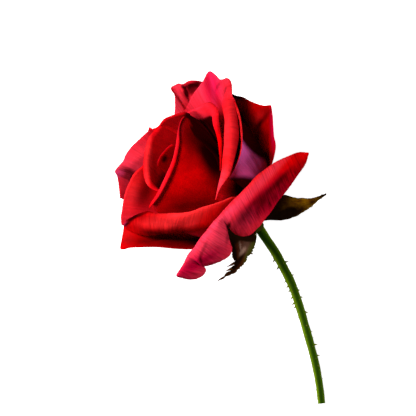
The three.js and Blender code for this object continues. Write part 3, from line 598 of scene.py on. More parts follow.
              [-21, -16.2, 23.6], [-19.6, -17.2, 20.4], [-18.4, -19.4, 19.4], [-20.2, -21.8, 19.2],
              [-24.4, -23, 19], [-29.6, -21.9, 19.5]]},
    {"name": "petal_back_right", "layer": 7, "middle": 141, "polar": True, "sections": 13,
     "pinch": 0.72, "footPull": 0.49, "rimPull": 0.28, "spread": [95, 88, 84, 85],
     "lean": [75, 60, 50, 50], "lip": 0.6, "roll": 40,
     "rim": [[112, 27, 12], [118, 32, 9], [126, 35.8, 7.5], [136, 35, 16.5], [148, 33.2, 22],
             [160, 31.5, 26.5], [170, 29, 27], [178, 24, 24]]},
    {"name": "petal_back_left", "layer": 8, "middle": 223, "polar": True, "pinch": 0.72,
     "footPull": 0.42, "rimPull": 0.4, "spread": [78, 80, 81], "lean": 50, "lip": 0.6, "roll": 40,
     "rim": [[176, 24, 23], [185, 31, 27], [196, 33.7, 28.5], [209, 36, 29], [222, 34, 29],
             [235, 30, 27], [244, 23, 22]]},
]
usualPetal = {      # what a petal has where its entry doesn't say otherwise
    "polar": False,
    "columns": 84,
    "sections": 11,       # the rim's direction is taken over one of these
    "wavy": 1.0,
    "folds": [],
    "vein": 0.3,
    "outside": 0.05,
    "pinkSheen": 0,
    "darkAndPaintedShade": 0,
    "inner": 0,
    "innerFrom": 0.86,
    "brightLip": 0,
    "edgeShade": 0,
    "marks": {},
}
petalMesh = {
    "rows": 44,
    "lipRows": 12,
    "rolledRows": 36,
    "claw": 0.55,                 # thickness at the claw
    "rim": 0.3,                   # thickness at the rim
    "clawReach": 1.2,             # distance of the innermost claw from the axis
    "clawStep": 0.85,             # and how much farther out each layer's claws are
    "hipTop": 6.0,
    "clawDrop": 0.85,             # how much lower each layer's claws are
    "startTurn": 0.6,             # share of the turn from claw to rim in which a petal sets out
    "ripple": 0.48,               # height of the soft waves over a petal
    "rippleWaves": (5, 0.05),     # how many are added up, and repeats per millimetre
    "pleat": 0.2,                 # height of the fine pleats that run to the rim
    "pleatWaves": (6, 0.45),
    "pleatStretch": 0.15,         # the pleats hardly change towards the rim
    "pleatSeed": 50,
    "waveLengths": (0.5, 1.5),
    "waveSlant": 0.35,
    "waveGrowth": 0.35,           # each next wave is finer
    "waveFade": 0.5,              # and lower
    "foldRise": (0.35, 1.0),      # over which share of the length a fold grows
    "flowStep": 37.0,             # gives each petal streaks of its own
}
petalPaint = {
    "pinkRise": (0.4, 0.95),      # over which share of the length the pink and its painted sheen come in
    "clawDusk": 0.35,             # painted shade deep among the claws, partly the petals' own darker base
    "clawFade": (0, 0.45),
    "innerFade": 0.035,           # share of the length over which the painted shade inside the cup ends
    "rimRows": (0.94, 1.0),       # where the edge colour comes in towards the rim
    "sideShare": (0, 0.012),      # and towards the sides
    "sideRise": (0.5, 1),
    "sideAmount": 0.6,
    "brightRows": 3,              # rows before a bright lip over which the painted shade ends
}


def rimLine(petal):
    points = []
    for a, b, c in petal["rim"]:
        if petal["polar"]:
            points.append(seat + float(b) * ray(a * degree) + c * openWay)
        else:
            z = (c - openWay[0] * (a - seat[0]) - openWay[1] * (b - seat[1])) / openWay[2]
            points.append(np.array([a, b, z]))
    return np.array(points)


def turnsOf(rim, middle):      # how far round the axis each point of the rim is
    away = rim - seat
    turn = np.arctan2(away @ sideWay, away @ frontWay)
    return turn + 2 * math.pi * np.round((middle - turn) / (2 * math.pi))


def wideRoll(petal, rim, arrive, shares, even):      # the rim rolled over to where its edge shows
    edge = splineAt(petal["edge"], shares)[:, None]
    lift = along(petal["lift"], even)[:, None, None]
    step = np.arange(1, petalMesh["rolledRows"] + 1) / petalMesh["rolledRows"]
    angle = (step * petal["under"] * degree)[None, :, None]
    share = (1 - np.cos(angle)) / 2
    return rim[:, None] * (1 - share) + edge * share + arrive[:, None] * lift * np.sin(angle)


def lipRoll(petal, rim, arrive, outward, even):      # a narrow lip rolled outwards
    radius = along(petal["lip"], even)[:, None, None]
    roll = (along(petal["roll"], even) * degree)[:, None, None]
    angle = (np.arange(1, petalMesh["lipRows"] + 1) / petalMesh["lipRows"])[None, :, None] * roll
    return (rim[:, None] + arrive[:, None] * radius * np.sin(angle)
            + outward[:, None] * radius * (1 - np.cos(angle)))


def petalGrid(petal):      # rows of points from the claw to the rim and on over its roll
    points = rimLine(petal)
    shares = evenShares(points, petal["columns"])
    rim = splineAt(points, shares)
    even = np.linspace(0, 1, petal["columns"])
    middle = petal["middle"] * degree
    turn = turnsOf(rim, middle)
    clawTurn = middle + (turn - middle) * petal["pinch"]
    claw = petalMesh["clawReach"] + petal["layer"] * petalMesh["clawStep"]
    rise = petalMesh["hipTop"] - petal["layer"] * petalMesh["clawDrop"]
    foot = seat + ray(clawTurn) * claw + openWay * rise
    reach = np.linalg.norm(rim - foot, axis=1)[:, None]
    spread, lean = ((along(petal[key], even) * degree)[:, None] for key in ("spread", "lean"))
    startWay = ray(clawTurn + (turn - clawTurn) * petalMesh["startTurn"])
    start = startWay * np.sin(spread) + openWay * np.cos(spread)
    arrive = ray(turn) * np.sin(lean) + openWay * np.cos(lean)
    if "arrive" in petal:
        straight = along(petal["arrive"], even)[:, None]
        arrive = unit(arrive * (1 - straight) + np.array([0, 0, 1.0]) * straight)
    p1 = foot + start * reach * petal["footPull"]
    p2 = rim - arrive * reach * petal["rimPull"]
    t = np.linspace(0, 1, petalMesh["rows"] + 1)[None, :, None]
    grid = ((1 - t) ** 3 * foot[:, None] + 3 * (1 - t) ** 2 * t * p1[:, None]
            + 3 * (1 - t) * t ** 2 * p2[:, None] + t ** 3 * rim[:, None])
    bladeRows = grid.shape[1]
    if "edge" in petal:
        grid = np.concatenate([grid, wideRoll(petal, rim, arrive, shares, even)], axis=1)
    elif "lip" in petal:
        half = 0.5 / (petal["sections"] - 1)      # half a section, as a share of the rim
        tangent = splineAt(points, shares + half) - splineAt(points, shares - half)
        outward = unit(np.cross(tangent, arrive))
        if np.sum(np.sign(np.sum(outward * ray(turn), axis=1))) < 0:
            outward = -outward
        grid = np.concatenate([grid, lipRoll(petal, rim, arrive, outward, even)], axis=1)
    return grid, bladeRows, turn, even


def waves(seed, across, rising, count, scale):      # soft random waves over a petal
    rng = np.random.default_rng(seed)
    total = np.zeros(np.broadcast(across, rising).shape)
    for k in range(count):
        u = rng.uniform(*petalMesh["waveLengths"]) * scale * (1 + petalMesh["waveGrowth"] * k)
        v = rng.uniform(-petalMesh["waveSlant"], petalMesh["waveSlant"]) * scale
        phase = rng.uniform(0, 2 * math.pi)
        wave = np.sin(2 * math.pi * (u * across + v * rising) + phase)
        total += wave / (1 + petalMesh["waveFade"] * k)
    return total / count


def petalRelief(petal, seed, across, rising, even, body):      # waves, pleats and folds
    ripple = waves(seed, across, rising, *petalMesh["rippleWaves"]) * body ** 1.5
    stretched = rising * petalMesh["pleatStretch"]
    pleatSeed = seed + petalMesh["pleatSeed"]
    pleat = waves(pleatSeed, across, stretched, *petalMesh["pleatWaves"]) * body ** 2
    relief = petal["wavy"] * (petalMesh["ripple"] * ripple + petalMesh["pleat"] * pleat)
    for place, width, depth in petal["folds"]:
        crease = np.exp(-((even[:, None] - place) / width) ** 2)
        relief = relief + depth * crease * smooth(*petalMesh["foldRise"], body)
    return relief


def outsideIsUpper(grid, normal, bladeRows, turn):      # which face is the petal's outside
    half = bladeRows // 2
    growth = grid[:, half + 1] - grid[:, half - 1]
    away = ray(turn)
    out = away * (growth @ openWay)[:, None] - openWay * np.sum(growth * away, axis=1)[:, None]
    return np.sum(normal[:, half] * out) > 0


def petalColours(petal, grid, bladeRows, even, body, upperOutside):      # what the material reads
    shape = grid.shape[:2]
    paint = petalPaint
    marked = {key: np.zeros(shape) for key in ("pinkSheen", "rose", "darkAndPaintedShade", "paintedLight", "mottledShade", "outside")}
    for key, marks in petal["marks"].items():
        for mark in marks:
            marked[key] += patch(mark, grid)
    row = np.arange(shape[1])[None, :]
    pinkSheen, darkAndPaintedShade, inner, innerFrom, bright = (
        along(petal[key], even)[:, None] for key in ("pinkSheen", "darkAndPaintedShade", "inner", "innerFrom", "brightLip"))
    # pink with painted sheen, coming in towards the rim and in the marks
    pinkSheen = pinkSheen * smooth(*paint["pinkRise"], body) + marked["pinkSheen"]
    sides = 1 - smooth(*paint["sideShare"], np.minimum(even, 1 - even)[:, None])
    edge = np.maximum(smooth(*paint["rimRows"], row / (shape[1] - 1)),
                      paint["sideAmount"] * sides * smooth(*paint["sideRise"], body))
    # painted shade: among the claws, along parts of the rim and in the marks
    darkAndPaintedShade = darkAndPaintedShade + paint["clawDusk"] * (1 - smooth(*paint["clawFade"], body)) + marked["darkAndPaintedShade"]
    darkAndPaintedShade = darkAndPaintedShade * (1 - bright * smooth(bladeRows - paint["brightRows"], bladeRows, row))
    # painted shade on the inside of the cup, up to innerFrom
    insideShade = inner * (1 - smooth(innerFrom, innerFrom + paint["innerFade"], body))
    colours = {key: facesValues(shape, values, values) for key, values in (
        ("pinkSheen", pinkSheen), ("edge", petal["edgeShade"] * edge), ("paintedLight", marked["paintedLight"]),
        ("mottledShade", marked["mottledShade"]), ("rose", marked["rose"]), ("vein", petal["vein"]))}
    for key, outer, inner in (("darkAndPaintedShade", darkAndPaintedShade, darkAndPaintedShade + insideShade),
                              ("outside", petal["outside"] + marked["outside"], marked["outside"])):
        upper, lower = (outer, inner) if upperOutside else (inner, outer)
        colours[key] = facesValues(shape, upper, lower)
    return colours


def makePetal(petal, seed):
    petal = {**usualPetal, **petal}
    grid, bladeRows, turn, even = petalGrid(petal)
    wide, long = grid.shape[:2]
    steps = np.linalg.norm(np.diff(grid, axis=1), axis=2)
    rising = np.concatenate([np.zeros((wide, 1)), np.cumsum(steps, axis=1)], axis=1)
    rimSteps = np.linalg.norm(np.diff(grid[:, bladeRows - 1], axis=0), axis=1)
    across = np.concatenate([[0], np.cumsum(rimSteps)])[:, None]
    body = np.clip(np.arange(long) / (bladeRows - 1), 0, 1)[None, :]
    relief = petalRelief(petal, seed, across, rising, even, body)
    grid = grid + gridNormals(grid) * relief[..., None]
    normal = gridNormals(grid)
    upperOutside = outsideIsUpper(grid, normal, bladeRows, turn)
    thick = petalMesh["claw"] + (petalMesh["rim"] - petalMesh["claw"]) * smooth(0, 1, body)
    table = flower["clear"] - flower["shift"][2]
    grid[..., 2] = np.maximum(grid[..., 2], table + thick / 2)      # it lies on the table
    flow = across + seed * petalMesh["flowStep"]
    points, faces, uv = blade(grid, normal, thick[..., None], flow, rising)
    meshPiece(petal["name"].replace("petal_", "petal-"), points, faces, uv,
              petalColours(petal, grid, bladeRows, even, body, upperOutside),
              petalMaterial, petal["name"])


for number, petal in enumerate(petals):
    makePetal(petal, number + 1)
print("petals ready:", len(petals))


# Calyx: the hip and two sepals
calyx = {
    "hipRows": [[0, -9.0], [2.05, -9.0], [3.2, -6.6], [5.6, -3.6], [7.2, -1.9], [7.6, -0.9],
                [6.9, -0.75], [0.7, 5.4], [0, 5.6]],      # [radius, height along the axis]
    "hipRings": 40,
    "hipSides": 40,
    "hipFlow": 4,
    "thickness": 0.6,
    "thinning": 0.6,              # share of the thickness lost from foot to tip
    "across": 16,
    "steps": 90,
    "raggedRise": (0.2, 0.4),
    "midrib": (0.3, 0.06),        # height, width
    "sideRibs": (0.12, 3, 0.1),   # height, number, and where they end before the borders
    "flow": (9, 34),              # the flow map's measures across and along a sepal
    "rimAmount": 0.8,
    "rimWidth": 0.1,
    "borderSeed": 11,
    "hairSeed": 60,
    "hairLength": (0.4, 1.1),
    "hairSunk": 0.25,             # how deep a hair's foot sits in the border
    "hairRight": 0.7,             # share of the hairs on the right border
    "hairSweep": 0.6,             # how far it leans towards the sepal's tip
    "hairShape": (0.17, 5, 4),    # radius, sides, rings
    "barbShape": (0.65, 7, 6),
    "spikeSide": (0.3, 0.2, 1.0),      # a way that no hair or barb runs in
    "spikeFlow": 4,
    "droop": 0.5,                 # how far the tip of a hair or barb hangs
    "flatness": 0.5,
    "taper": 0.8,
    "hipPaint": {"rim": 1.0, "dark": 0.82},
    "hairPaint": {"brown": 0.3, "rim": 0.5, "dark": 0.5},
    "barbPaint": {"brown": 0.8, "dark": 0.4},
}
# rows: both borders and the bulge between them as [left x, y, z, right x, y, z, bulge]
# barbs: [foot x, y, z, tip x, y, z]
# ragged, hairs, hairy: how far the borders wander, how many hairs, and over what share of the length
# brown, dark, marks: colour along the length, and patches as on the petals
sepals = [
    {"name": "sepal-right", "ragged": 0.12, "hairs": 10, "hairy": [0.5, 0.9],
     "brown": [0.6, 0.4, 0.1, 0, 0.2], "dark": [1, 1, 0.8, 0.35, 0.05, 0.05, 0.3],
     "marks": {"dark": [[15, 3.6, 5, 1.5, 25, 0.8, 0.9], [22.5, 6.2, 6, 0.8, 33, 0.5, 0.9],
                        [28, 10.6, 2, 0.8, 30, 0.4]]},
     "rows": [[-1, 7, -4, 2, 0, -4, 1], [6, 9.6, -4, 6.6, 0.8, -4, 2],
              [12.6, 10.9, -3.4, 12.4, 0.8, -3.4, 2.4], [16.8, 9.8, -2.6, 16.7, 1.9, -2.6, 2.2],
              [20.6, 9.5, -1.6, 20.4, 3.8, -1.6, 1.6], [24.2, 9.5, -0.4, 24.1, 6.4, -0.4, 0.9],
              [27.3, 10.4, 1, 27.4, 9.2, 1, 0.3], [29.9, 11.5, 2.4, 30, 10.9, 2.4, 0]],
     "barbs": []},
    {"name": "sepal-lower", "ragged": 0.45, "hairs": 34, "hairy": [0.3, 0.95],
     "brown": [1, 1, 1, 0.9, 0.9], "dark": [0.9, 0.75, 0.5, 0.3, 0.4],
     # the pale patches in these marks are painted sheen
     "marks": {"paintedSheen": [[-3.9, -11.7, 1.9, 0.7, 60, 0.9, 0.6], [-2.4, -9, 3.6, 1.6, 70, 0.22, 0.9],
                         [-4.8, -9.4, 1.8, 0.35, 100, 0.6, 0.5]],
               "dark": [[-7.2, -5.4, 3.4, 2.2, 60, 0.9], [-2.5, -6.2, 4, 1.2, -10, 0.8],
                        [-7.2, -11.5, 4, 0.8, -80, 0.6], [-5.6, -16, 4, 0.7, 55, 0.5],
                        [-8.2, -18.6, 5, 2.2, 50, 0.5, 0.9]],
               "rim": [[-0.3, -9.5, 6, 0.9, 65, 0.9]]},
     "rows": [[-2.5, -3.5, 0.9, 0.4, -1.3, 3, 0], [-3, -5.7, 8, 1.6, -3.4, 7, 0.3],
              [-6.6, -5.6, 20, 1.7, -5.8, 8.8, 1], [-9.5, -2.8, 27.4, 1.3, -8.3, 9.4, 2],
              [-9.9, -5.4, 25, 0.7, -10.2, 10, 2.3], [-9.3, -8.1, 20.5, 0.1, -11.8, 10.4, 2.2],
              [-8.1, -11.1, 16.5, -1, -13.2, 10.6, 1.6], [-7.4, -13.8, 14, -2.3, -15, 10.6, 1.2],
              [-7.3, -16.2, 12.2, -3.6, -17.2, 10.4, 0.8], [-8.3, -18.5, 11, -5.5, -19, 9.8, 0.4],
              [-10, -20.5, 9.4, -8, -20.9, 9.2, 0.2], [-13.6, -23.4, 7.4, -13.9, -24, 7.4, 0]],
     "barbs": [[-6.8, -16.4, 12, -10.3, -18.2, 10.4], [-7.9, -18.6, 11, -10.9, -19.9, 9.6],
               [-1.2, -12.2, 10.8, 0.6, -12.9, 10.6]]},
]


def tubeFaces(rings, sides):      # the side of a body made of rings of points
    faces = []
    for i in range(rings - 1):
        for k in range(sides):
            a, b = i * sides + k, i * sides + (k + 1) % sides
            faces.append([a, b, b + sides, a + sides])
    return faces


def lathe(profile, rings, sides):      # round body about the flower's axis, closed at both ends
    profile = np.asarray(profile, float)
    rows = splineAt(np.column_stack([profile[1:-1], np.zeros(len(profile) - 2)]),
                    np.linspace(0, 1, rings))[:, :2]
    turns = np.arange(sides) / sides * 2 * math.pi
    body = seat + rows[:, None, 0, None] * ray(turns)[None] + rows[:, None, 1, None] * openWay
    ends = [seat + openWay * height for height in (profile[0, 1], profile[-1, 1])]
    points = np.concatenate([body.reshape(-1, 3), ends])
    uv = [(t * calyx["hipFlow"], row[1]) for row in rows for t in turns] + [(0, 0), (0, 0)]
    faces = tubeFaces(rings, sides)
    tip = rings * sides
    around = [(k, (k + 1) % sides) for k in range(sides)]
    faces += [[tip, b, a] for a, b in around]
    faces += [[tip + 1, a + tip - sides, b + tip - sides] for a, b in around]
    return points, faces, np.array(uv, float)


def spike(foot, tip, radius, sides, rings):      # a bent taper with a closed foot
    axis = unit(tip - foot)
    right = unit(np.cross(axis, calyx["spikeSide"]))
    up = np.cross(right, axis)
    points, uv = [], []
    for i in range(rings):
        share = i / rings
        r = radius * (1 - share) ** calyx["taper"]
        centre = foot + (tip - foot) * share - np.array([0, 0, 1.0]) * calyx["droop"] * share * share
        for k in range(sides):
            angle = k / sides * 2 * math.pi
            height = r * calyx["flatness"] * math.sin(angle)
            points.append(centre + right * r * math.cos(angle) + up * height)
            uv.append((k, share * calyx["spikeFlow"]))
    points += [tip - np.array([0, 0, calyx["droop"]]), foot]
    uv += [(0, calyx["spikeFlow"]), (0, 0)]
    faces = tubeFaces(rings, sides)
    last = rings * sides
    for k in range(sides):
        a, b = k, (k + 1) % sides
        faces.append([a + last - sides, b + last - sides, last])
        faces.append([b, a, last + 1])
    return np.array(points), faces, np.array(uv, float)


def sepalBlade(sepal, seed):      # a sepal's middle face with its ribs
    rows = np.array(sepal["rows"], float)
    share = np.linspace(0, 1, calyx["steps"])
    left = splineAt(rows[:, 0:3], share)
    right = splineAt(rows[:, 3:6], share)
    bulge = along(rows[:, 6], share)[:, None]
    rng = np.random.default_rng(seed)
    narrow = np.minimum(np.linalg.norm(right - left, axis=1)[:, None] / 2, 1)      # calmer at the tip
    rise = smooth(*calyx["raggedRise"], share)[:, None]
    for line, sign in ((left, -1), (right, 1)):      # ragged borders
        jag = np.convolve(rng.normal(size=len(share) + 2), [0.25, 0.5, 0.25], "valid")[:, None]
        line += unit(right - left) * sign * jag * sepal["ragged"] * narrow * rise
    k = np.linspace(0, 1, calyx["across"] + 1)[None, :]
    grid = left[:, None] * (1 - k[..., None]) + right[:, None] * k[..., None]
    high, wide = calyx["midrib"]
    low, number, fade = calyx["sideRibs"]
    midrib = high * np.exp(-((k - 0.5) / wide) ** 2) * (1 - share[:, None])
    sideRibs = low * np.cos(k * number * 2 * math.pi) * smooth(0, fade, k * (1 - k))
    grid[..., 2] += bulge * np.sin(math.pi * k) + midrib + sideRibs
    return grid, share, k


def addShell(shells, shape, paint):      # each shell is turned to face outwards
    points, faces, uv = shape
    if shellVolume(points, faces) < 0:
        faces = [face[::-1] for face in faces]
    shells.append((points, faces, uv, paint))


def addHairs(shells, sepal, grid, seed):      # short stiff hairs along the borders
    rng = np.random.default_rng(seed)
    last = len(grid) - 1
    for i in range(sepal["hairs"]):
        row = int(rng.uniform(*sepal["hairy"]) * last)
        border, inner = grid[row, -1], grid[row, -3]
        if rng.random() >= calyx["hairRight"]:
            border, inner = grid[row, 0], grid[row, 2]
        middle = grid[:, calyx["across"] // 2]
        sweep = unit(middle[min(row + 2, last)] - middle[row - 2])
        foot = border - unit(border - inner) * calyx["hairSunk"]
        length = calyx["hairSunk"] + rng.uniform(*calyx["hairLength"])
        tip = foot + unit(unit(border - inner) + calyx["hairSweep"] * sweep) * length
        addShell(shells, spike(foot, tip, *calyx["hairShape"]), calyx["hairPaint"])


def addSepal(shells, sepal, number):
    grid, share, k = sepalBlade(sepal, calyx["borderSeed"] + number)
    size = grid.shape[:2]
    thick = calyx["thickness"] * (1 - calyx["thinning"] * share)[:, None, None]
    paint = {"rim": calyx["rimAmount"] * (1 - smooth(0, calyx["rimWidth"], np.minimum(k, 1 - k))),
             "paintedSheen": 0, "brown": along(sepal["brown"], share)[:, None],
             "dark": along(sepal["dark"], share)[:, None]}
    for key, marks in sepal["marks"].items():
        for mark in marks:
            paint[key] = paint[key] + patch(mark, grid)
    paint = {key: facesValues(size, values, values) for key, values in paint.items()}
    across, rising = calyx["flow"]
    shape = blade(grid, gridNormals(grid), thick, k * across, share[:, None] * rising)
    addShell(shells, shape, paint)
    for barb in sepal["barbs"]:
        foot, tip = np.array(barb[:3]), np.array(barb[3:])
        addShell(shells, spike(foot, tip, *calyx["barbShape"]), calyx["barbPaint"])
    addHairs(shells, sepal, grid, calyx["hairSeed"] + number)


def makeCalyx():
    shells = []
    hip = lathe(calyx["hipRows"], calyx["hipRings"], calyx["hipSides"])
    addShell(shells, hip, calyx["hipPaint"])
    for number, sepal in enumerate(sepals):
        addSepal(shells, sepal, number)
    faces = []
    count = 0
    for shell in shells:
        faces += [[i + count for i in face] for face in shell[1]]
        count += len(shell[0])
    points, uv = (np.concatenate([shell[part] for shell in shells]) for part in (0, 2))
    values = {}
    for key in ("brown", "dark", "paintedSheen", "rim"):
        parts = [np.broadcast_to(paint.get(key, 0.0), len(body)) for body, _, _, paint in shells]
        values[key] = np.concatenate(parts)
    meshPiece("calyx-with-sepals", points, faces, uv, values, calyxMaterial, "calyx")


makeCalyx()
print("calyx ready:", ", ".join(sepal["name"] for sepal in sepals))


# Stem with its prickles, by Geometry Nodes along the stem's line
stem = {
    "line": [[1.8, -0.6, -3.6], [5.7, -6.6, -5.8], [9.4, -12.1, -7.2], [13, -18.7, -8.8],
             [16.1, -24.9, -10], [18.7, -32.1, -11], [21.2, -40.3, -11.7], [23.8, -49.5, -12.1],
             [25.9, -57.7, -12.3], [27.4, -65.9, -12.4], [28.3, -73.4, -12.45]],
    "radius": (1.9, 1.5),               # at the hip and at the cut end
    "swelling": ((0.018, 41, 0), (0.012, 93, 1)),      # share of the radius, how often, where
    "steps": 160,
    "sides": 32,
    "leftShares": [0.215, 0.262, 0.345, 0.372, 0.402, 0.438, 0.468, 0.486],
    "rightShares": [0.252, 0.33, 0.412, 0.448, 0.53, 0.70, 0.76],
    "leftSizes": (0.8, 1.15),
    "rightSizes": (0.7, 1.0),
    "wander": 18,                       # how far a prickle turns off its side
    "smallCount": 70,
    "smallPlaces": (0.17, 0.82, 0.8),   # first share, run, and how far each strays in its gap
    "smallSizes": (0.25, 0.6),
    "smallWander": 75,
    "footDepth": 0.86,                  # share of the radius at which a prickle's foot is
    "tilt": 0.25,                       # towards the cut end
    "prickleLength": 1.7,
    "prickleWidth": 0.5,
    "prickleTip": 0.03,
    "prickleSides": 9,
    "prickleRings": 5,
    "hook": 0.35,
    "seed": 71,
    "flow": (1.8, 84),                  # the flow map's measures round and along the stem
}
stemPaint = {
    "headShadow": (0.06, 0.22),               # share of the length over which the painted shadow of the flower head ends
    "leftLight": (-0.25, -0.8),         # where light comes in across the stem, from -1 to 1
    "rightLight": (0.55, 0.95),
    "leftAmount": (0.6, 0.0),           # here and below: down the stem, and in the head's painted shadow
    "rightAmount": (0.5, 1.0),
    # a painted shade band down the middle of the stem
    "darkPlace": (0.1, -0.4),
    "darkWidth": (0.45, 0.65),
    "darkAmount": (0.75, 1.0),
    "cutFacing": 0.95,                  # how straight the cut end looks along the stem
}


def stemPath():
    line = splineAt(stem["line"], evenShares(stem["line"], stem["steps"]))
    return line, unit(np.gradient(line, axis=0))


def between(pair, share):      # from the first value to the second
    return pair[0] + (pair[1] - pair[0]) * share


def prickleSpots(line, tangent):      # where each one stands, which way it points and how long it is
    rng = np.random.default_rng(stem["seed"])
    rows = []
    for side, shares, sizes in ((180, stem["leftShares"], stem["leftSizes"]),
                                (0, stem["rightShares"], stem["rightSizes"])):
        for share in shares:
            turn = side + rng.uniform(-stem["wander"], stem["wander"])
            rows.append((share, turn, rng.uniform(*sizes)))
    first, run, stray = stem["smallPlaces"]
    for i in range(stem["smallCount"]):
        turn = (180 if i % 3 else 0) + rng.uniform(-stem["smallWander"], stem["smallWander"])
        share = first + run * (i + rng.uniform(0, stray)) / stem["smallCount"]
        rows.append((share, turn, rng.uniform(*stem["smallSizes"])))
    spots = []
    for share, turn, size in rows:
        i = int(share * (len(line) - 1))
        right = unit(np.cross(tangent[i], [0, 0, 1.0]))
        over = unit(np.cross(right, tangent[i]))
        away = over * abs(math.sin(turn * degree)) - right * math.cos(turn * degree)
        foot = line[i] + away * between(stem["radius"], share) * stem["footDepth"]
        spots.append((foot, unit(away + tangent[i] * stem["tilt"]), size))
    return spots


def carried(tree, name, kind="FLOAT"):      # a value that the stem's line carries
    node = put(tree, "GeometryNodeInputNamedAttribute", None, {"Name": name}, data_type=kind)
    return node.outputs["Attribute"]


def hookedPrickle(tree, length, width, hook):      # a cone that bends more and more towards its tip
    cone = put(tree, "GeometryNodeMeshCone", {"Radius Bottom": width, "Depth": length},
               {"Vertices": stem["prickleSides"], "Side Segments": stem["prickleRings"],
                "Radius Top": stem["prickleTip"] * mm})
    position = put(tree, "GeometryNodeInputPosition")
    split = put(tree, "ShaderNodeSeparateXYZ", {"Vector": position.outputs[0]})
    height = mathNode(tree, "DIVIDE", split.outputs["Z"], length)
    tip = put(tree, "GeometryNodeStoreNamedAttribute",
              {"Geometry": cone.outputs["Mesh"], "Value": height}, {"Name": "tip"},
              data_type="FLOAT", domain="POINT")
    lean = mathNode(tree, "MULTIPLY", mathNode(tree, "MULTIPLY", height, height), hook)
    bend = put(tree, "ShaderNodeCombineXYZ", {"X": mathNode(tree, "MULTIPLY", lean, length)})
    hooked = put(tree, "GeometryNodeSetPosition",
                 {"Geometry": tip.outputs["Geometry"], "Offset": bend.outputs[0]})
    return hooked.outputs["Geometry"]


def stemTree():
    tree = bpy.data.node_groups.new("stemWithPrickles", "GeometryNodeTree")
    for name, kind in (("Geometry", "Geometry"), ("Sides", "Int"), ("Prickle length", "Float"),
                       ("Prickle width", "Float"), ("Hook", "Float"), ("Material", "Material")):
        tree.interface.new_socket(name, in_out="INPUT", socket_type="NodeSocket" + kind)
    tree.interface.new_socket("Geometry", in_out="OUTPUT", socket_type="NodeSocketGeometry")
    given = put(tree, "NodeGroupInput").outputs
    apart = put(tree, "GeometryNodeSeparateGeometry",
                {"Geometry": given["Geometry"], "Selection": carried(tree, "prickle")}, domain="POINT")
    curve = put(tree, "GeometryNodeMeshToCurve", {"Mesh": apart.outputs["Inverted"]})
    ring = put(tree, "GeometryNodeCurvePrimitiveCircle", {"Resolution": given["Sides"]},
               {"Radius": 1.0})
    tube = put(tree, "GeometryNodeCurveToMesh",
               {"Curve": curve.outputs["Curve"], "Profile Curve": ring.outputs["Curve"],
                "Scale": carried(tree, "thick")}, {"Fill Caps": True})
    prickle = hookedPrickle(tree, given["Prickle length"], given["Prickle width"], given["Hook"])
    turn = put(tree, "FunctionNodeAlignRotationToVector",
               {"Vector": carried(tree, "aim", "FLOAT_VECTOR")}, axis="Z")
    placed = put(tree, "GeometryNodeInstanceOnPoints",
                 {"Points": apart.outputs["Selection"], "Instance": prickle,
                  "Rotation": turn.outputs[0], "Scale": carried(tree, "size")})
    real = put(tree, "GeometryNodeRealizeInstances", {"Geometry": placed.outputs["Instances"]})
    joined = put(tree, "GeometryNodeJoinGeometry")
    for source in (real.outputs["Geometry"], tube.outputs["Mesh"]):
        tree.links.new(source, joined.inputs[0])
    skin = put(tree, "GeometryNodeSetMaterial",
               {"Geometry": joined.outputs["Geometry"], "Material": given["Material"]})
    put(tree, "NodeGroupOutput", {"Geometry": skin.outputs["Geometry"]})
    return tree


def setInput(modifier, name, value):      # by the socket's identifier
    for item in modifier.node_group.interface.items_tree:
        if item.name == name and item.in_out == "INPUT":
            modifier[item.identifier] = value


def stemGuide(line, tangent):      # the stem's line and the prickles' feet, with what the nodes read
    spots = prickleSpots(line, tangent)
    share = np.linspace(0, 1, len(line))
    swell = 1 + sum(size * np.sin(share * rate + phase) for size, rate, phase in stem["swelling"])
    radius = between(stem["radius"], share) * swell
    points = np.concatenate([line, [foot for foot, _, _ in spots]]) + np.array(flower["shift"])
    mesh = bpy.data.meshes.new("stemPath")
    mesh.from_pydata((points * mm).tolist(), [[i, i + 1] for i in range(len(line) - 1)], [])
    addValues(mesh, "thick", np.concatenate([radius * mm, np.zeros(len(spots))]))
    addValues(mesh, "prickle", [0] * len(line) + [1] * len(spots))
    addValues(mesh, "size", [1] * len(line) + [size for _, _, size in spots])
    aims = np.concatenate([tangent, [aim for _, aim, _ in spots]])
    mesh.attributes.new("aim", "FLOAT_VECTOR", "POINT").data.foreach_set("vector", aims.ravel())
    return addObject("stemPath", mesh)


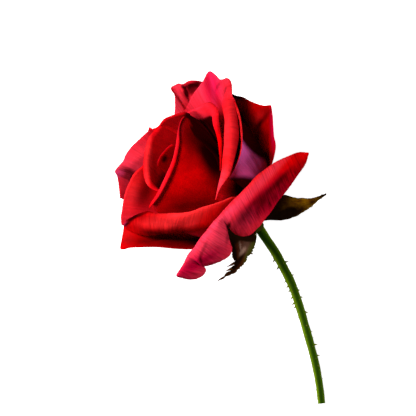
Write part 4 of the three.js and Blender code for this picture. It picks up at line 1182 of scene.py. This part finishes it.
def finishStem(mesh, line):      # the flow map round and along the stem, and its colours
    co = np.empty(len(mesh.vertices) * 3)
    mesh.vertices.foreach_get("co", co)
    co = co.reshape(-1, 3)
    co[:, 2] = np.maximum(co[:, 2], 0)
    mesh.vertices.foreach_set("co", co.ravel())
    drawn = co / mm - np.array(flower["shift"])
    near = np.array([np.argmin(np.linalg.norm(point - line, axis=1)) for point in drawn])
    offset = drawn - line[near]
    last = len(line) - 1
    across, rising = stem["flow"]
    around = np.arctan2(offset[:, 2], offset[:, 0])
    addFlow(mesh, np.stack([around * across, near / last * rising], axis=-1))
    run = line[np.minimum(near + 1, last)] - line[np.maximum(near - 1, 0)]
    aside = (offset[:, 0] * run[:, 1] - offset[:, 1] * run[:, 0]) / np.linalg.norm(run, axis=1)
    place = -aside / between(stem["radius"], near / last)
    # painted shadow of the flower head over the stem near the hip
    headShadow = 1 - smooth(*stemPaint["headShadow"], near / last)
    leftAmount, rightAmount, darkPlace, darkWidth, darkAmount = (
        between(stemPaint[key], headShadow)
        for key in ("leftAmount", "rightAmount", "darkPlace", "darkWidth", "darkAmount"))
    # painted light along both sides, painted shade down the middle
    lit = (leftAmount * smooth(*stemPaint["leftLight"], place)
           + rightAmount * smooth(*stemPaint["rightLight"], place))
    shade = darkAmount * np.exp(-((place - darkPlace) / darkWidth) ** 2)
    tail = Vector(unit(line[-1] - line[-2]))
    cut = [polygon.normal @ tail > stemPaint["cutFacing"] and len(polygon.vertices) > stem["sides"] / 2
           for polygon in mesh.polygons]
    addValues(mesh, "lit", np.clip(lit, 0, 1))
    addValues(mesh, "shade", np.clip(shade, 0, 1))
    addValues(mesh, "cut", cut, "FACE")
    mesh.polygons.foreach_set("use_smooth", [not end for end in cut])


def makeStem():
    line, tangent = stemPath()
    guide = stemGuide(line, tangent)
    modifier = guide.modifiers.new("stemWithPrickles", "NODES")
    modifier.node_group = stemTree()
    for name, value in (("Sides", stem["sides"]), ("Prickle length", stem["prickleLength"] * mm),
                        ("Prickle width", stem["prickleWidth"] * mm), ("Hook", stem["hook"]),
                        ("Material", stemMaterial)):
        setInput(modifier, name, value)
    depsgraph = bpy.context.evaluated_depsgraph_get()
    built = bpy.data.meshes.new_from_object(guide.evaluated_get(depsgraph))
    bpy.data.objects.remove(guide)
    finishStem(built, line)
    built.name = "stem-with-prickles"
    addPiece("stem-with-prickles", built, "stem")


makeStem()
print("stem ready")


# Floor, light and camera
view = {
    "centre": (-17.6, 5.6),       # middle of the picture in the drawing
    "width": 166.4,               # what the picture spans at the flower's middle height
    "height": 30.0,
    "lens": 600.0,
    "sensor": 36.0,
    "clipEnd": 20.0,
}
floorLook = {
    "half": 1.5,                  # metres
    "paint": {"Base Color": (0.93, 0.93, 0.93, 1), "Roughness": 0.9, "Specular IOR Level": 0.1,
              "Emission Color": (1, 1, 1, 1), "Emission Strength": 0.8},
}
lights = [
    {"name": "keyLight", "from": (-0.42, 0.30, 0.82), "size": 0.28, "power": 10.0,
     "colour": (1.0, 0.98, 0.96)},
    {"name": "leftLight", "from": (-0.90, 0.00, 0.24), "size": 0.4, "power": 12.0,
     "colour": (1.0, 1.0, 1.0)},
    {"name": "rightLight", "from": (0.85, -0.30, 0.20), "size": 0.4, "power": 6.0,
     "colour": (1.0, 1.0, 1.0)},
]
room = {      # where the lights aim, and the even light from all round
    "aim": (0, 0.02, 0.02),
    "colour": (1, 1, 1, 1),
    "strength": 0.12,
}


def makeFloor():
    half = floorLook["half"]
    mesh = bpy.data.meshes.new("floor")
    corners = [(-half, -half, 0), (half, -half, 0), (half, half, 0), (-half, half, 0)]
    mesh.from_pydata(corners, [], [[0, 1, 2, 3]])
    mat, tree = newMaterial("paleFloor")
    shadeWith(tree, None, floorLook["paint"])
    mesh.materials.append(mat)
    obj = addObject("floor", mesh)
    obj.visible_diffuse = False      # its glow stays off the petals


def makeLights():
    for light in lights:
        data = bpy.data.lights.new(light["name"], "AREA")
        data.shape = "SQUARE"
        data.size = light["size"]
        data.energy = light["power"]
        data.color = light["colour"]
        obj = addObject(light["name"], data)
        obj.location = Vector(light["from"])
        obj.rotation_euler = (Vector(room["aim"]) - obj.location).to_track_quat("-Z", "Y").to_euler()
    world = bpy.data.worlds.new("softRoom")
    world.use_nodes = True
    background = world.node_tree.nodes["Background"]
    background.inputs["Color"].default_value = room["colour"]
    background.inputs["Strength"].default_value = room["strength"]
    bpy.context.scene.world = world


def makeCamera():
    data = bpy.data.cameras.new("camera")
    data.lens = view["lens"]
    data.sensor_width = view["sensor"]
    data.clip_end = view["clipEnd"]
    obj = addObject("camera", data)
    x, y = (view["centre"][axis] + flower["shift"][axis] for axis in (0, 1))
    distance = view["width"] * view["lens"] / view["sensor"]
    obj.location = (x * mm, y * mm, (view["height"] + distance) * mm)
    bpy.context.scene.camera = obj


makeFloor()
makeLights()
makeCamera()
bpy.context.scene.view_settings.view_transform = "Standard"
bpy.context.scene.view_settings.look = "None"
print("floor, light and camera ready")
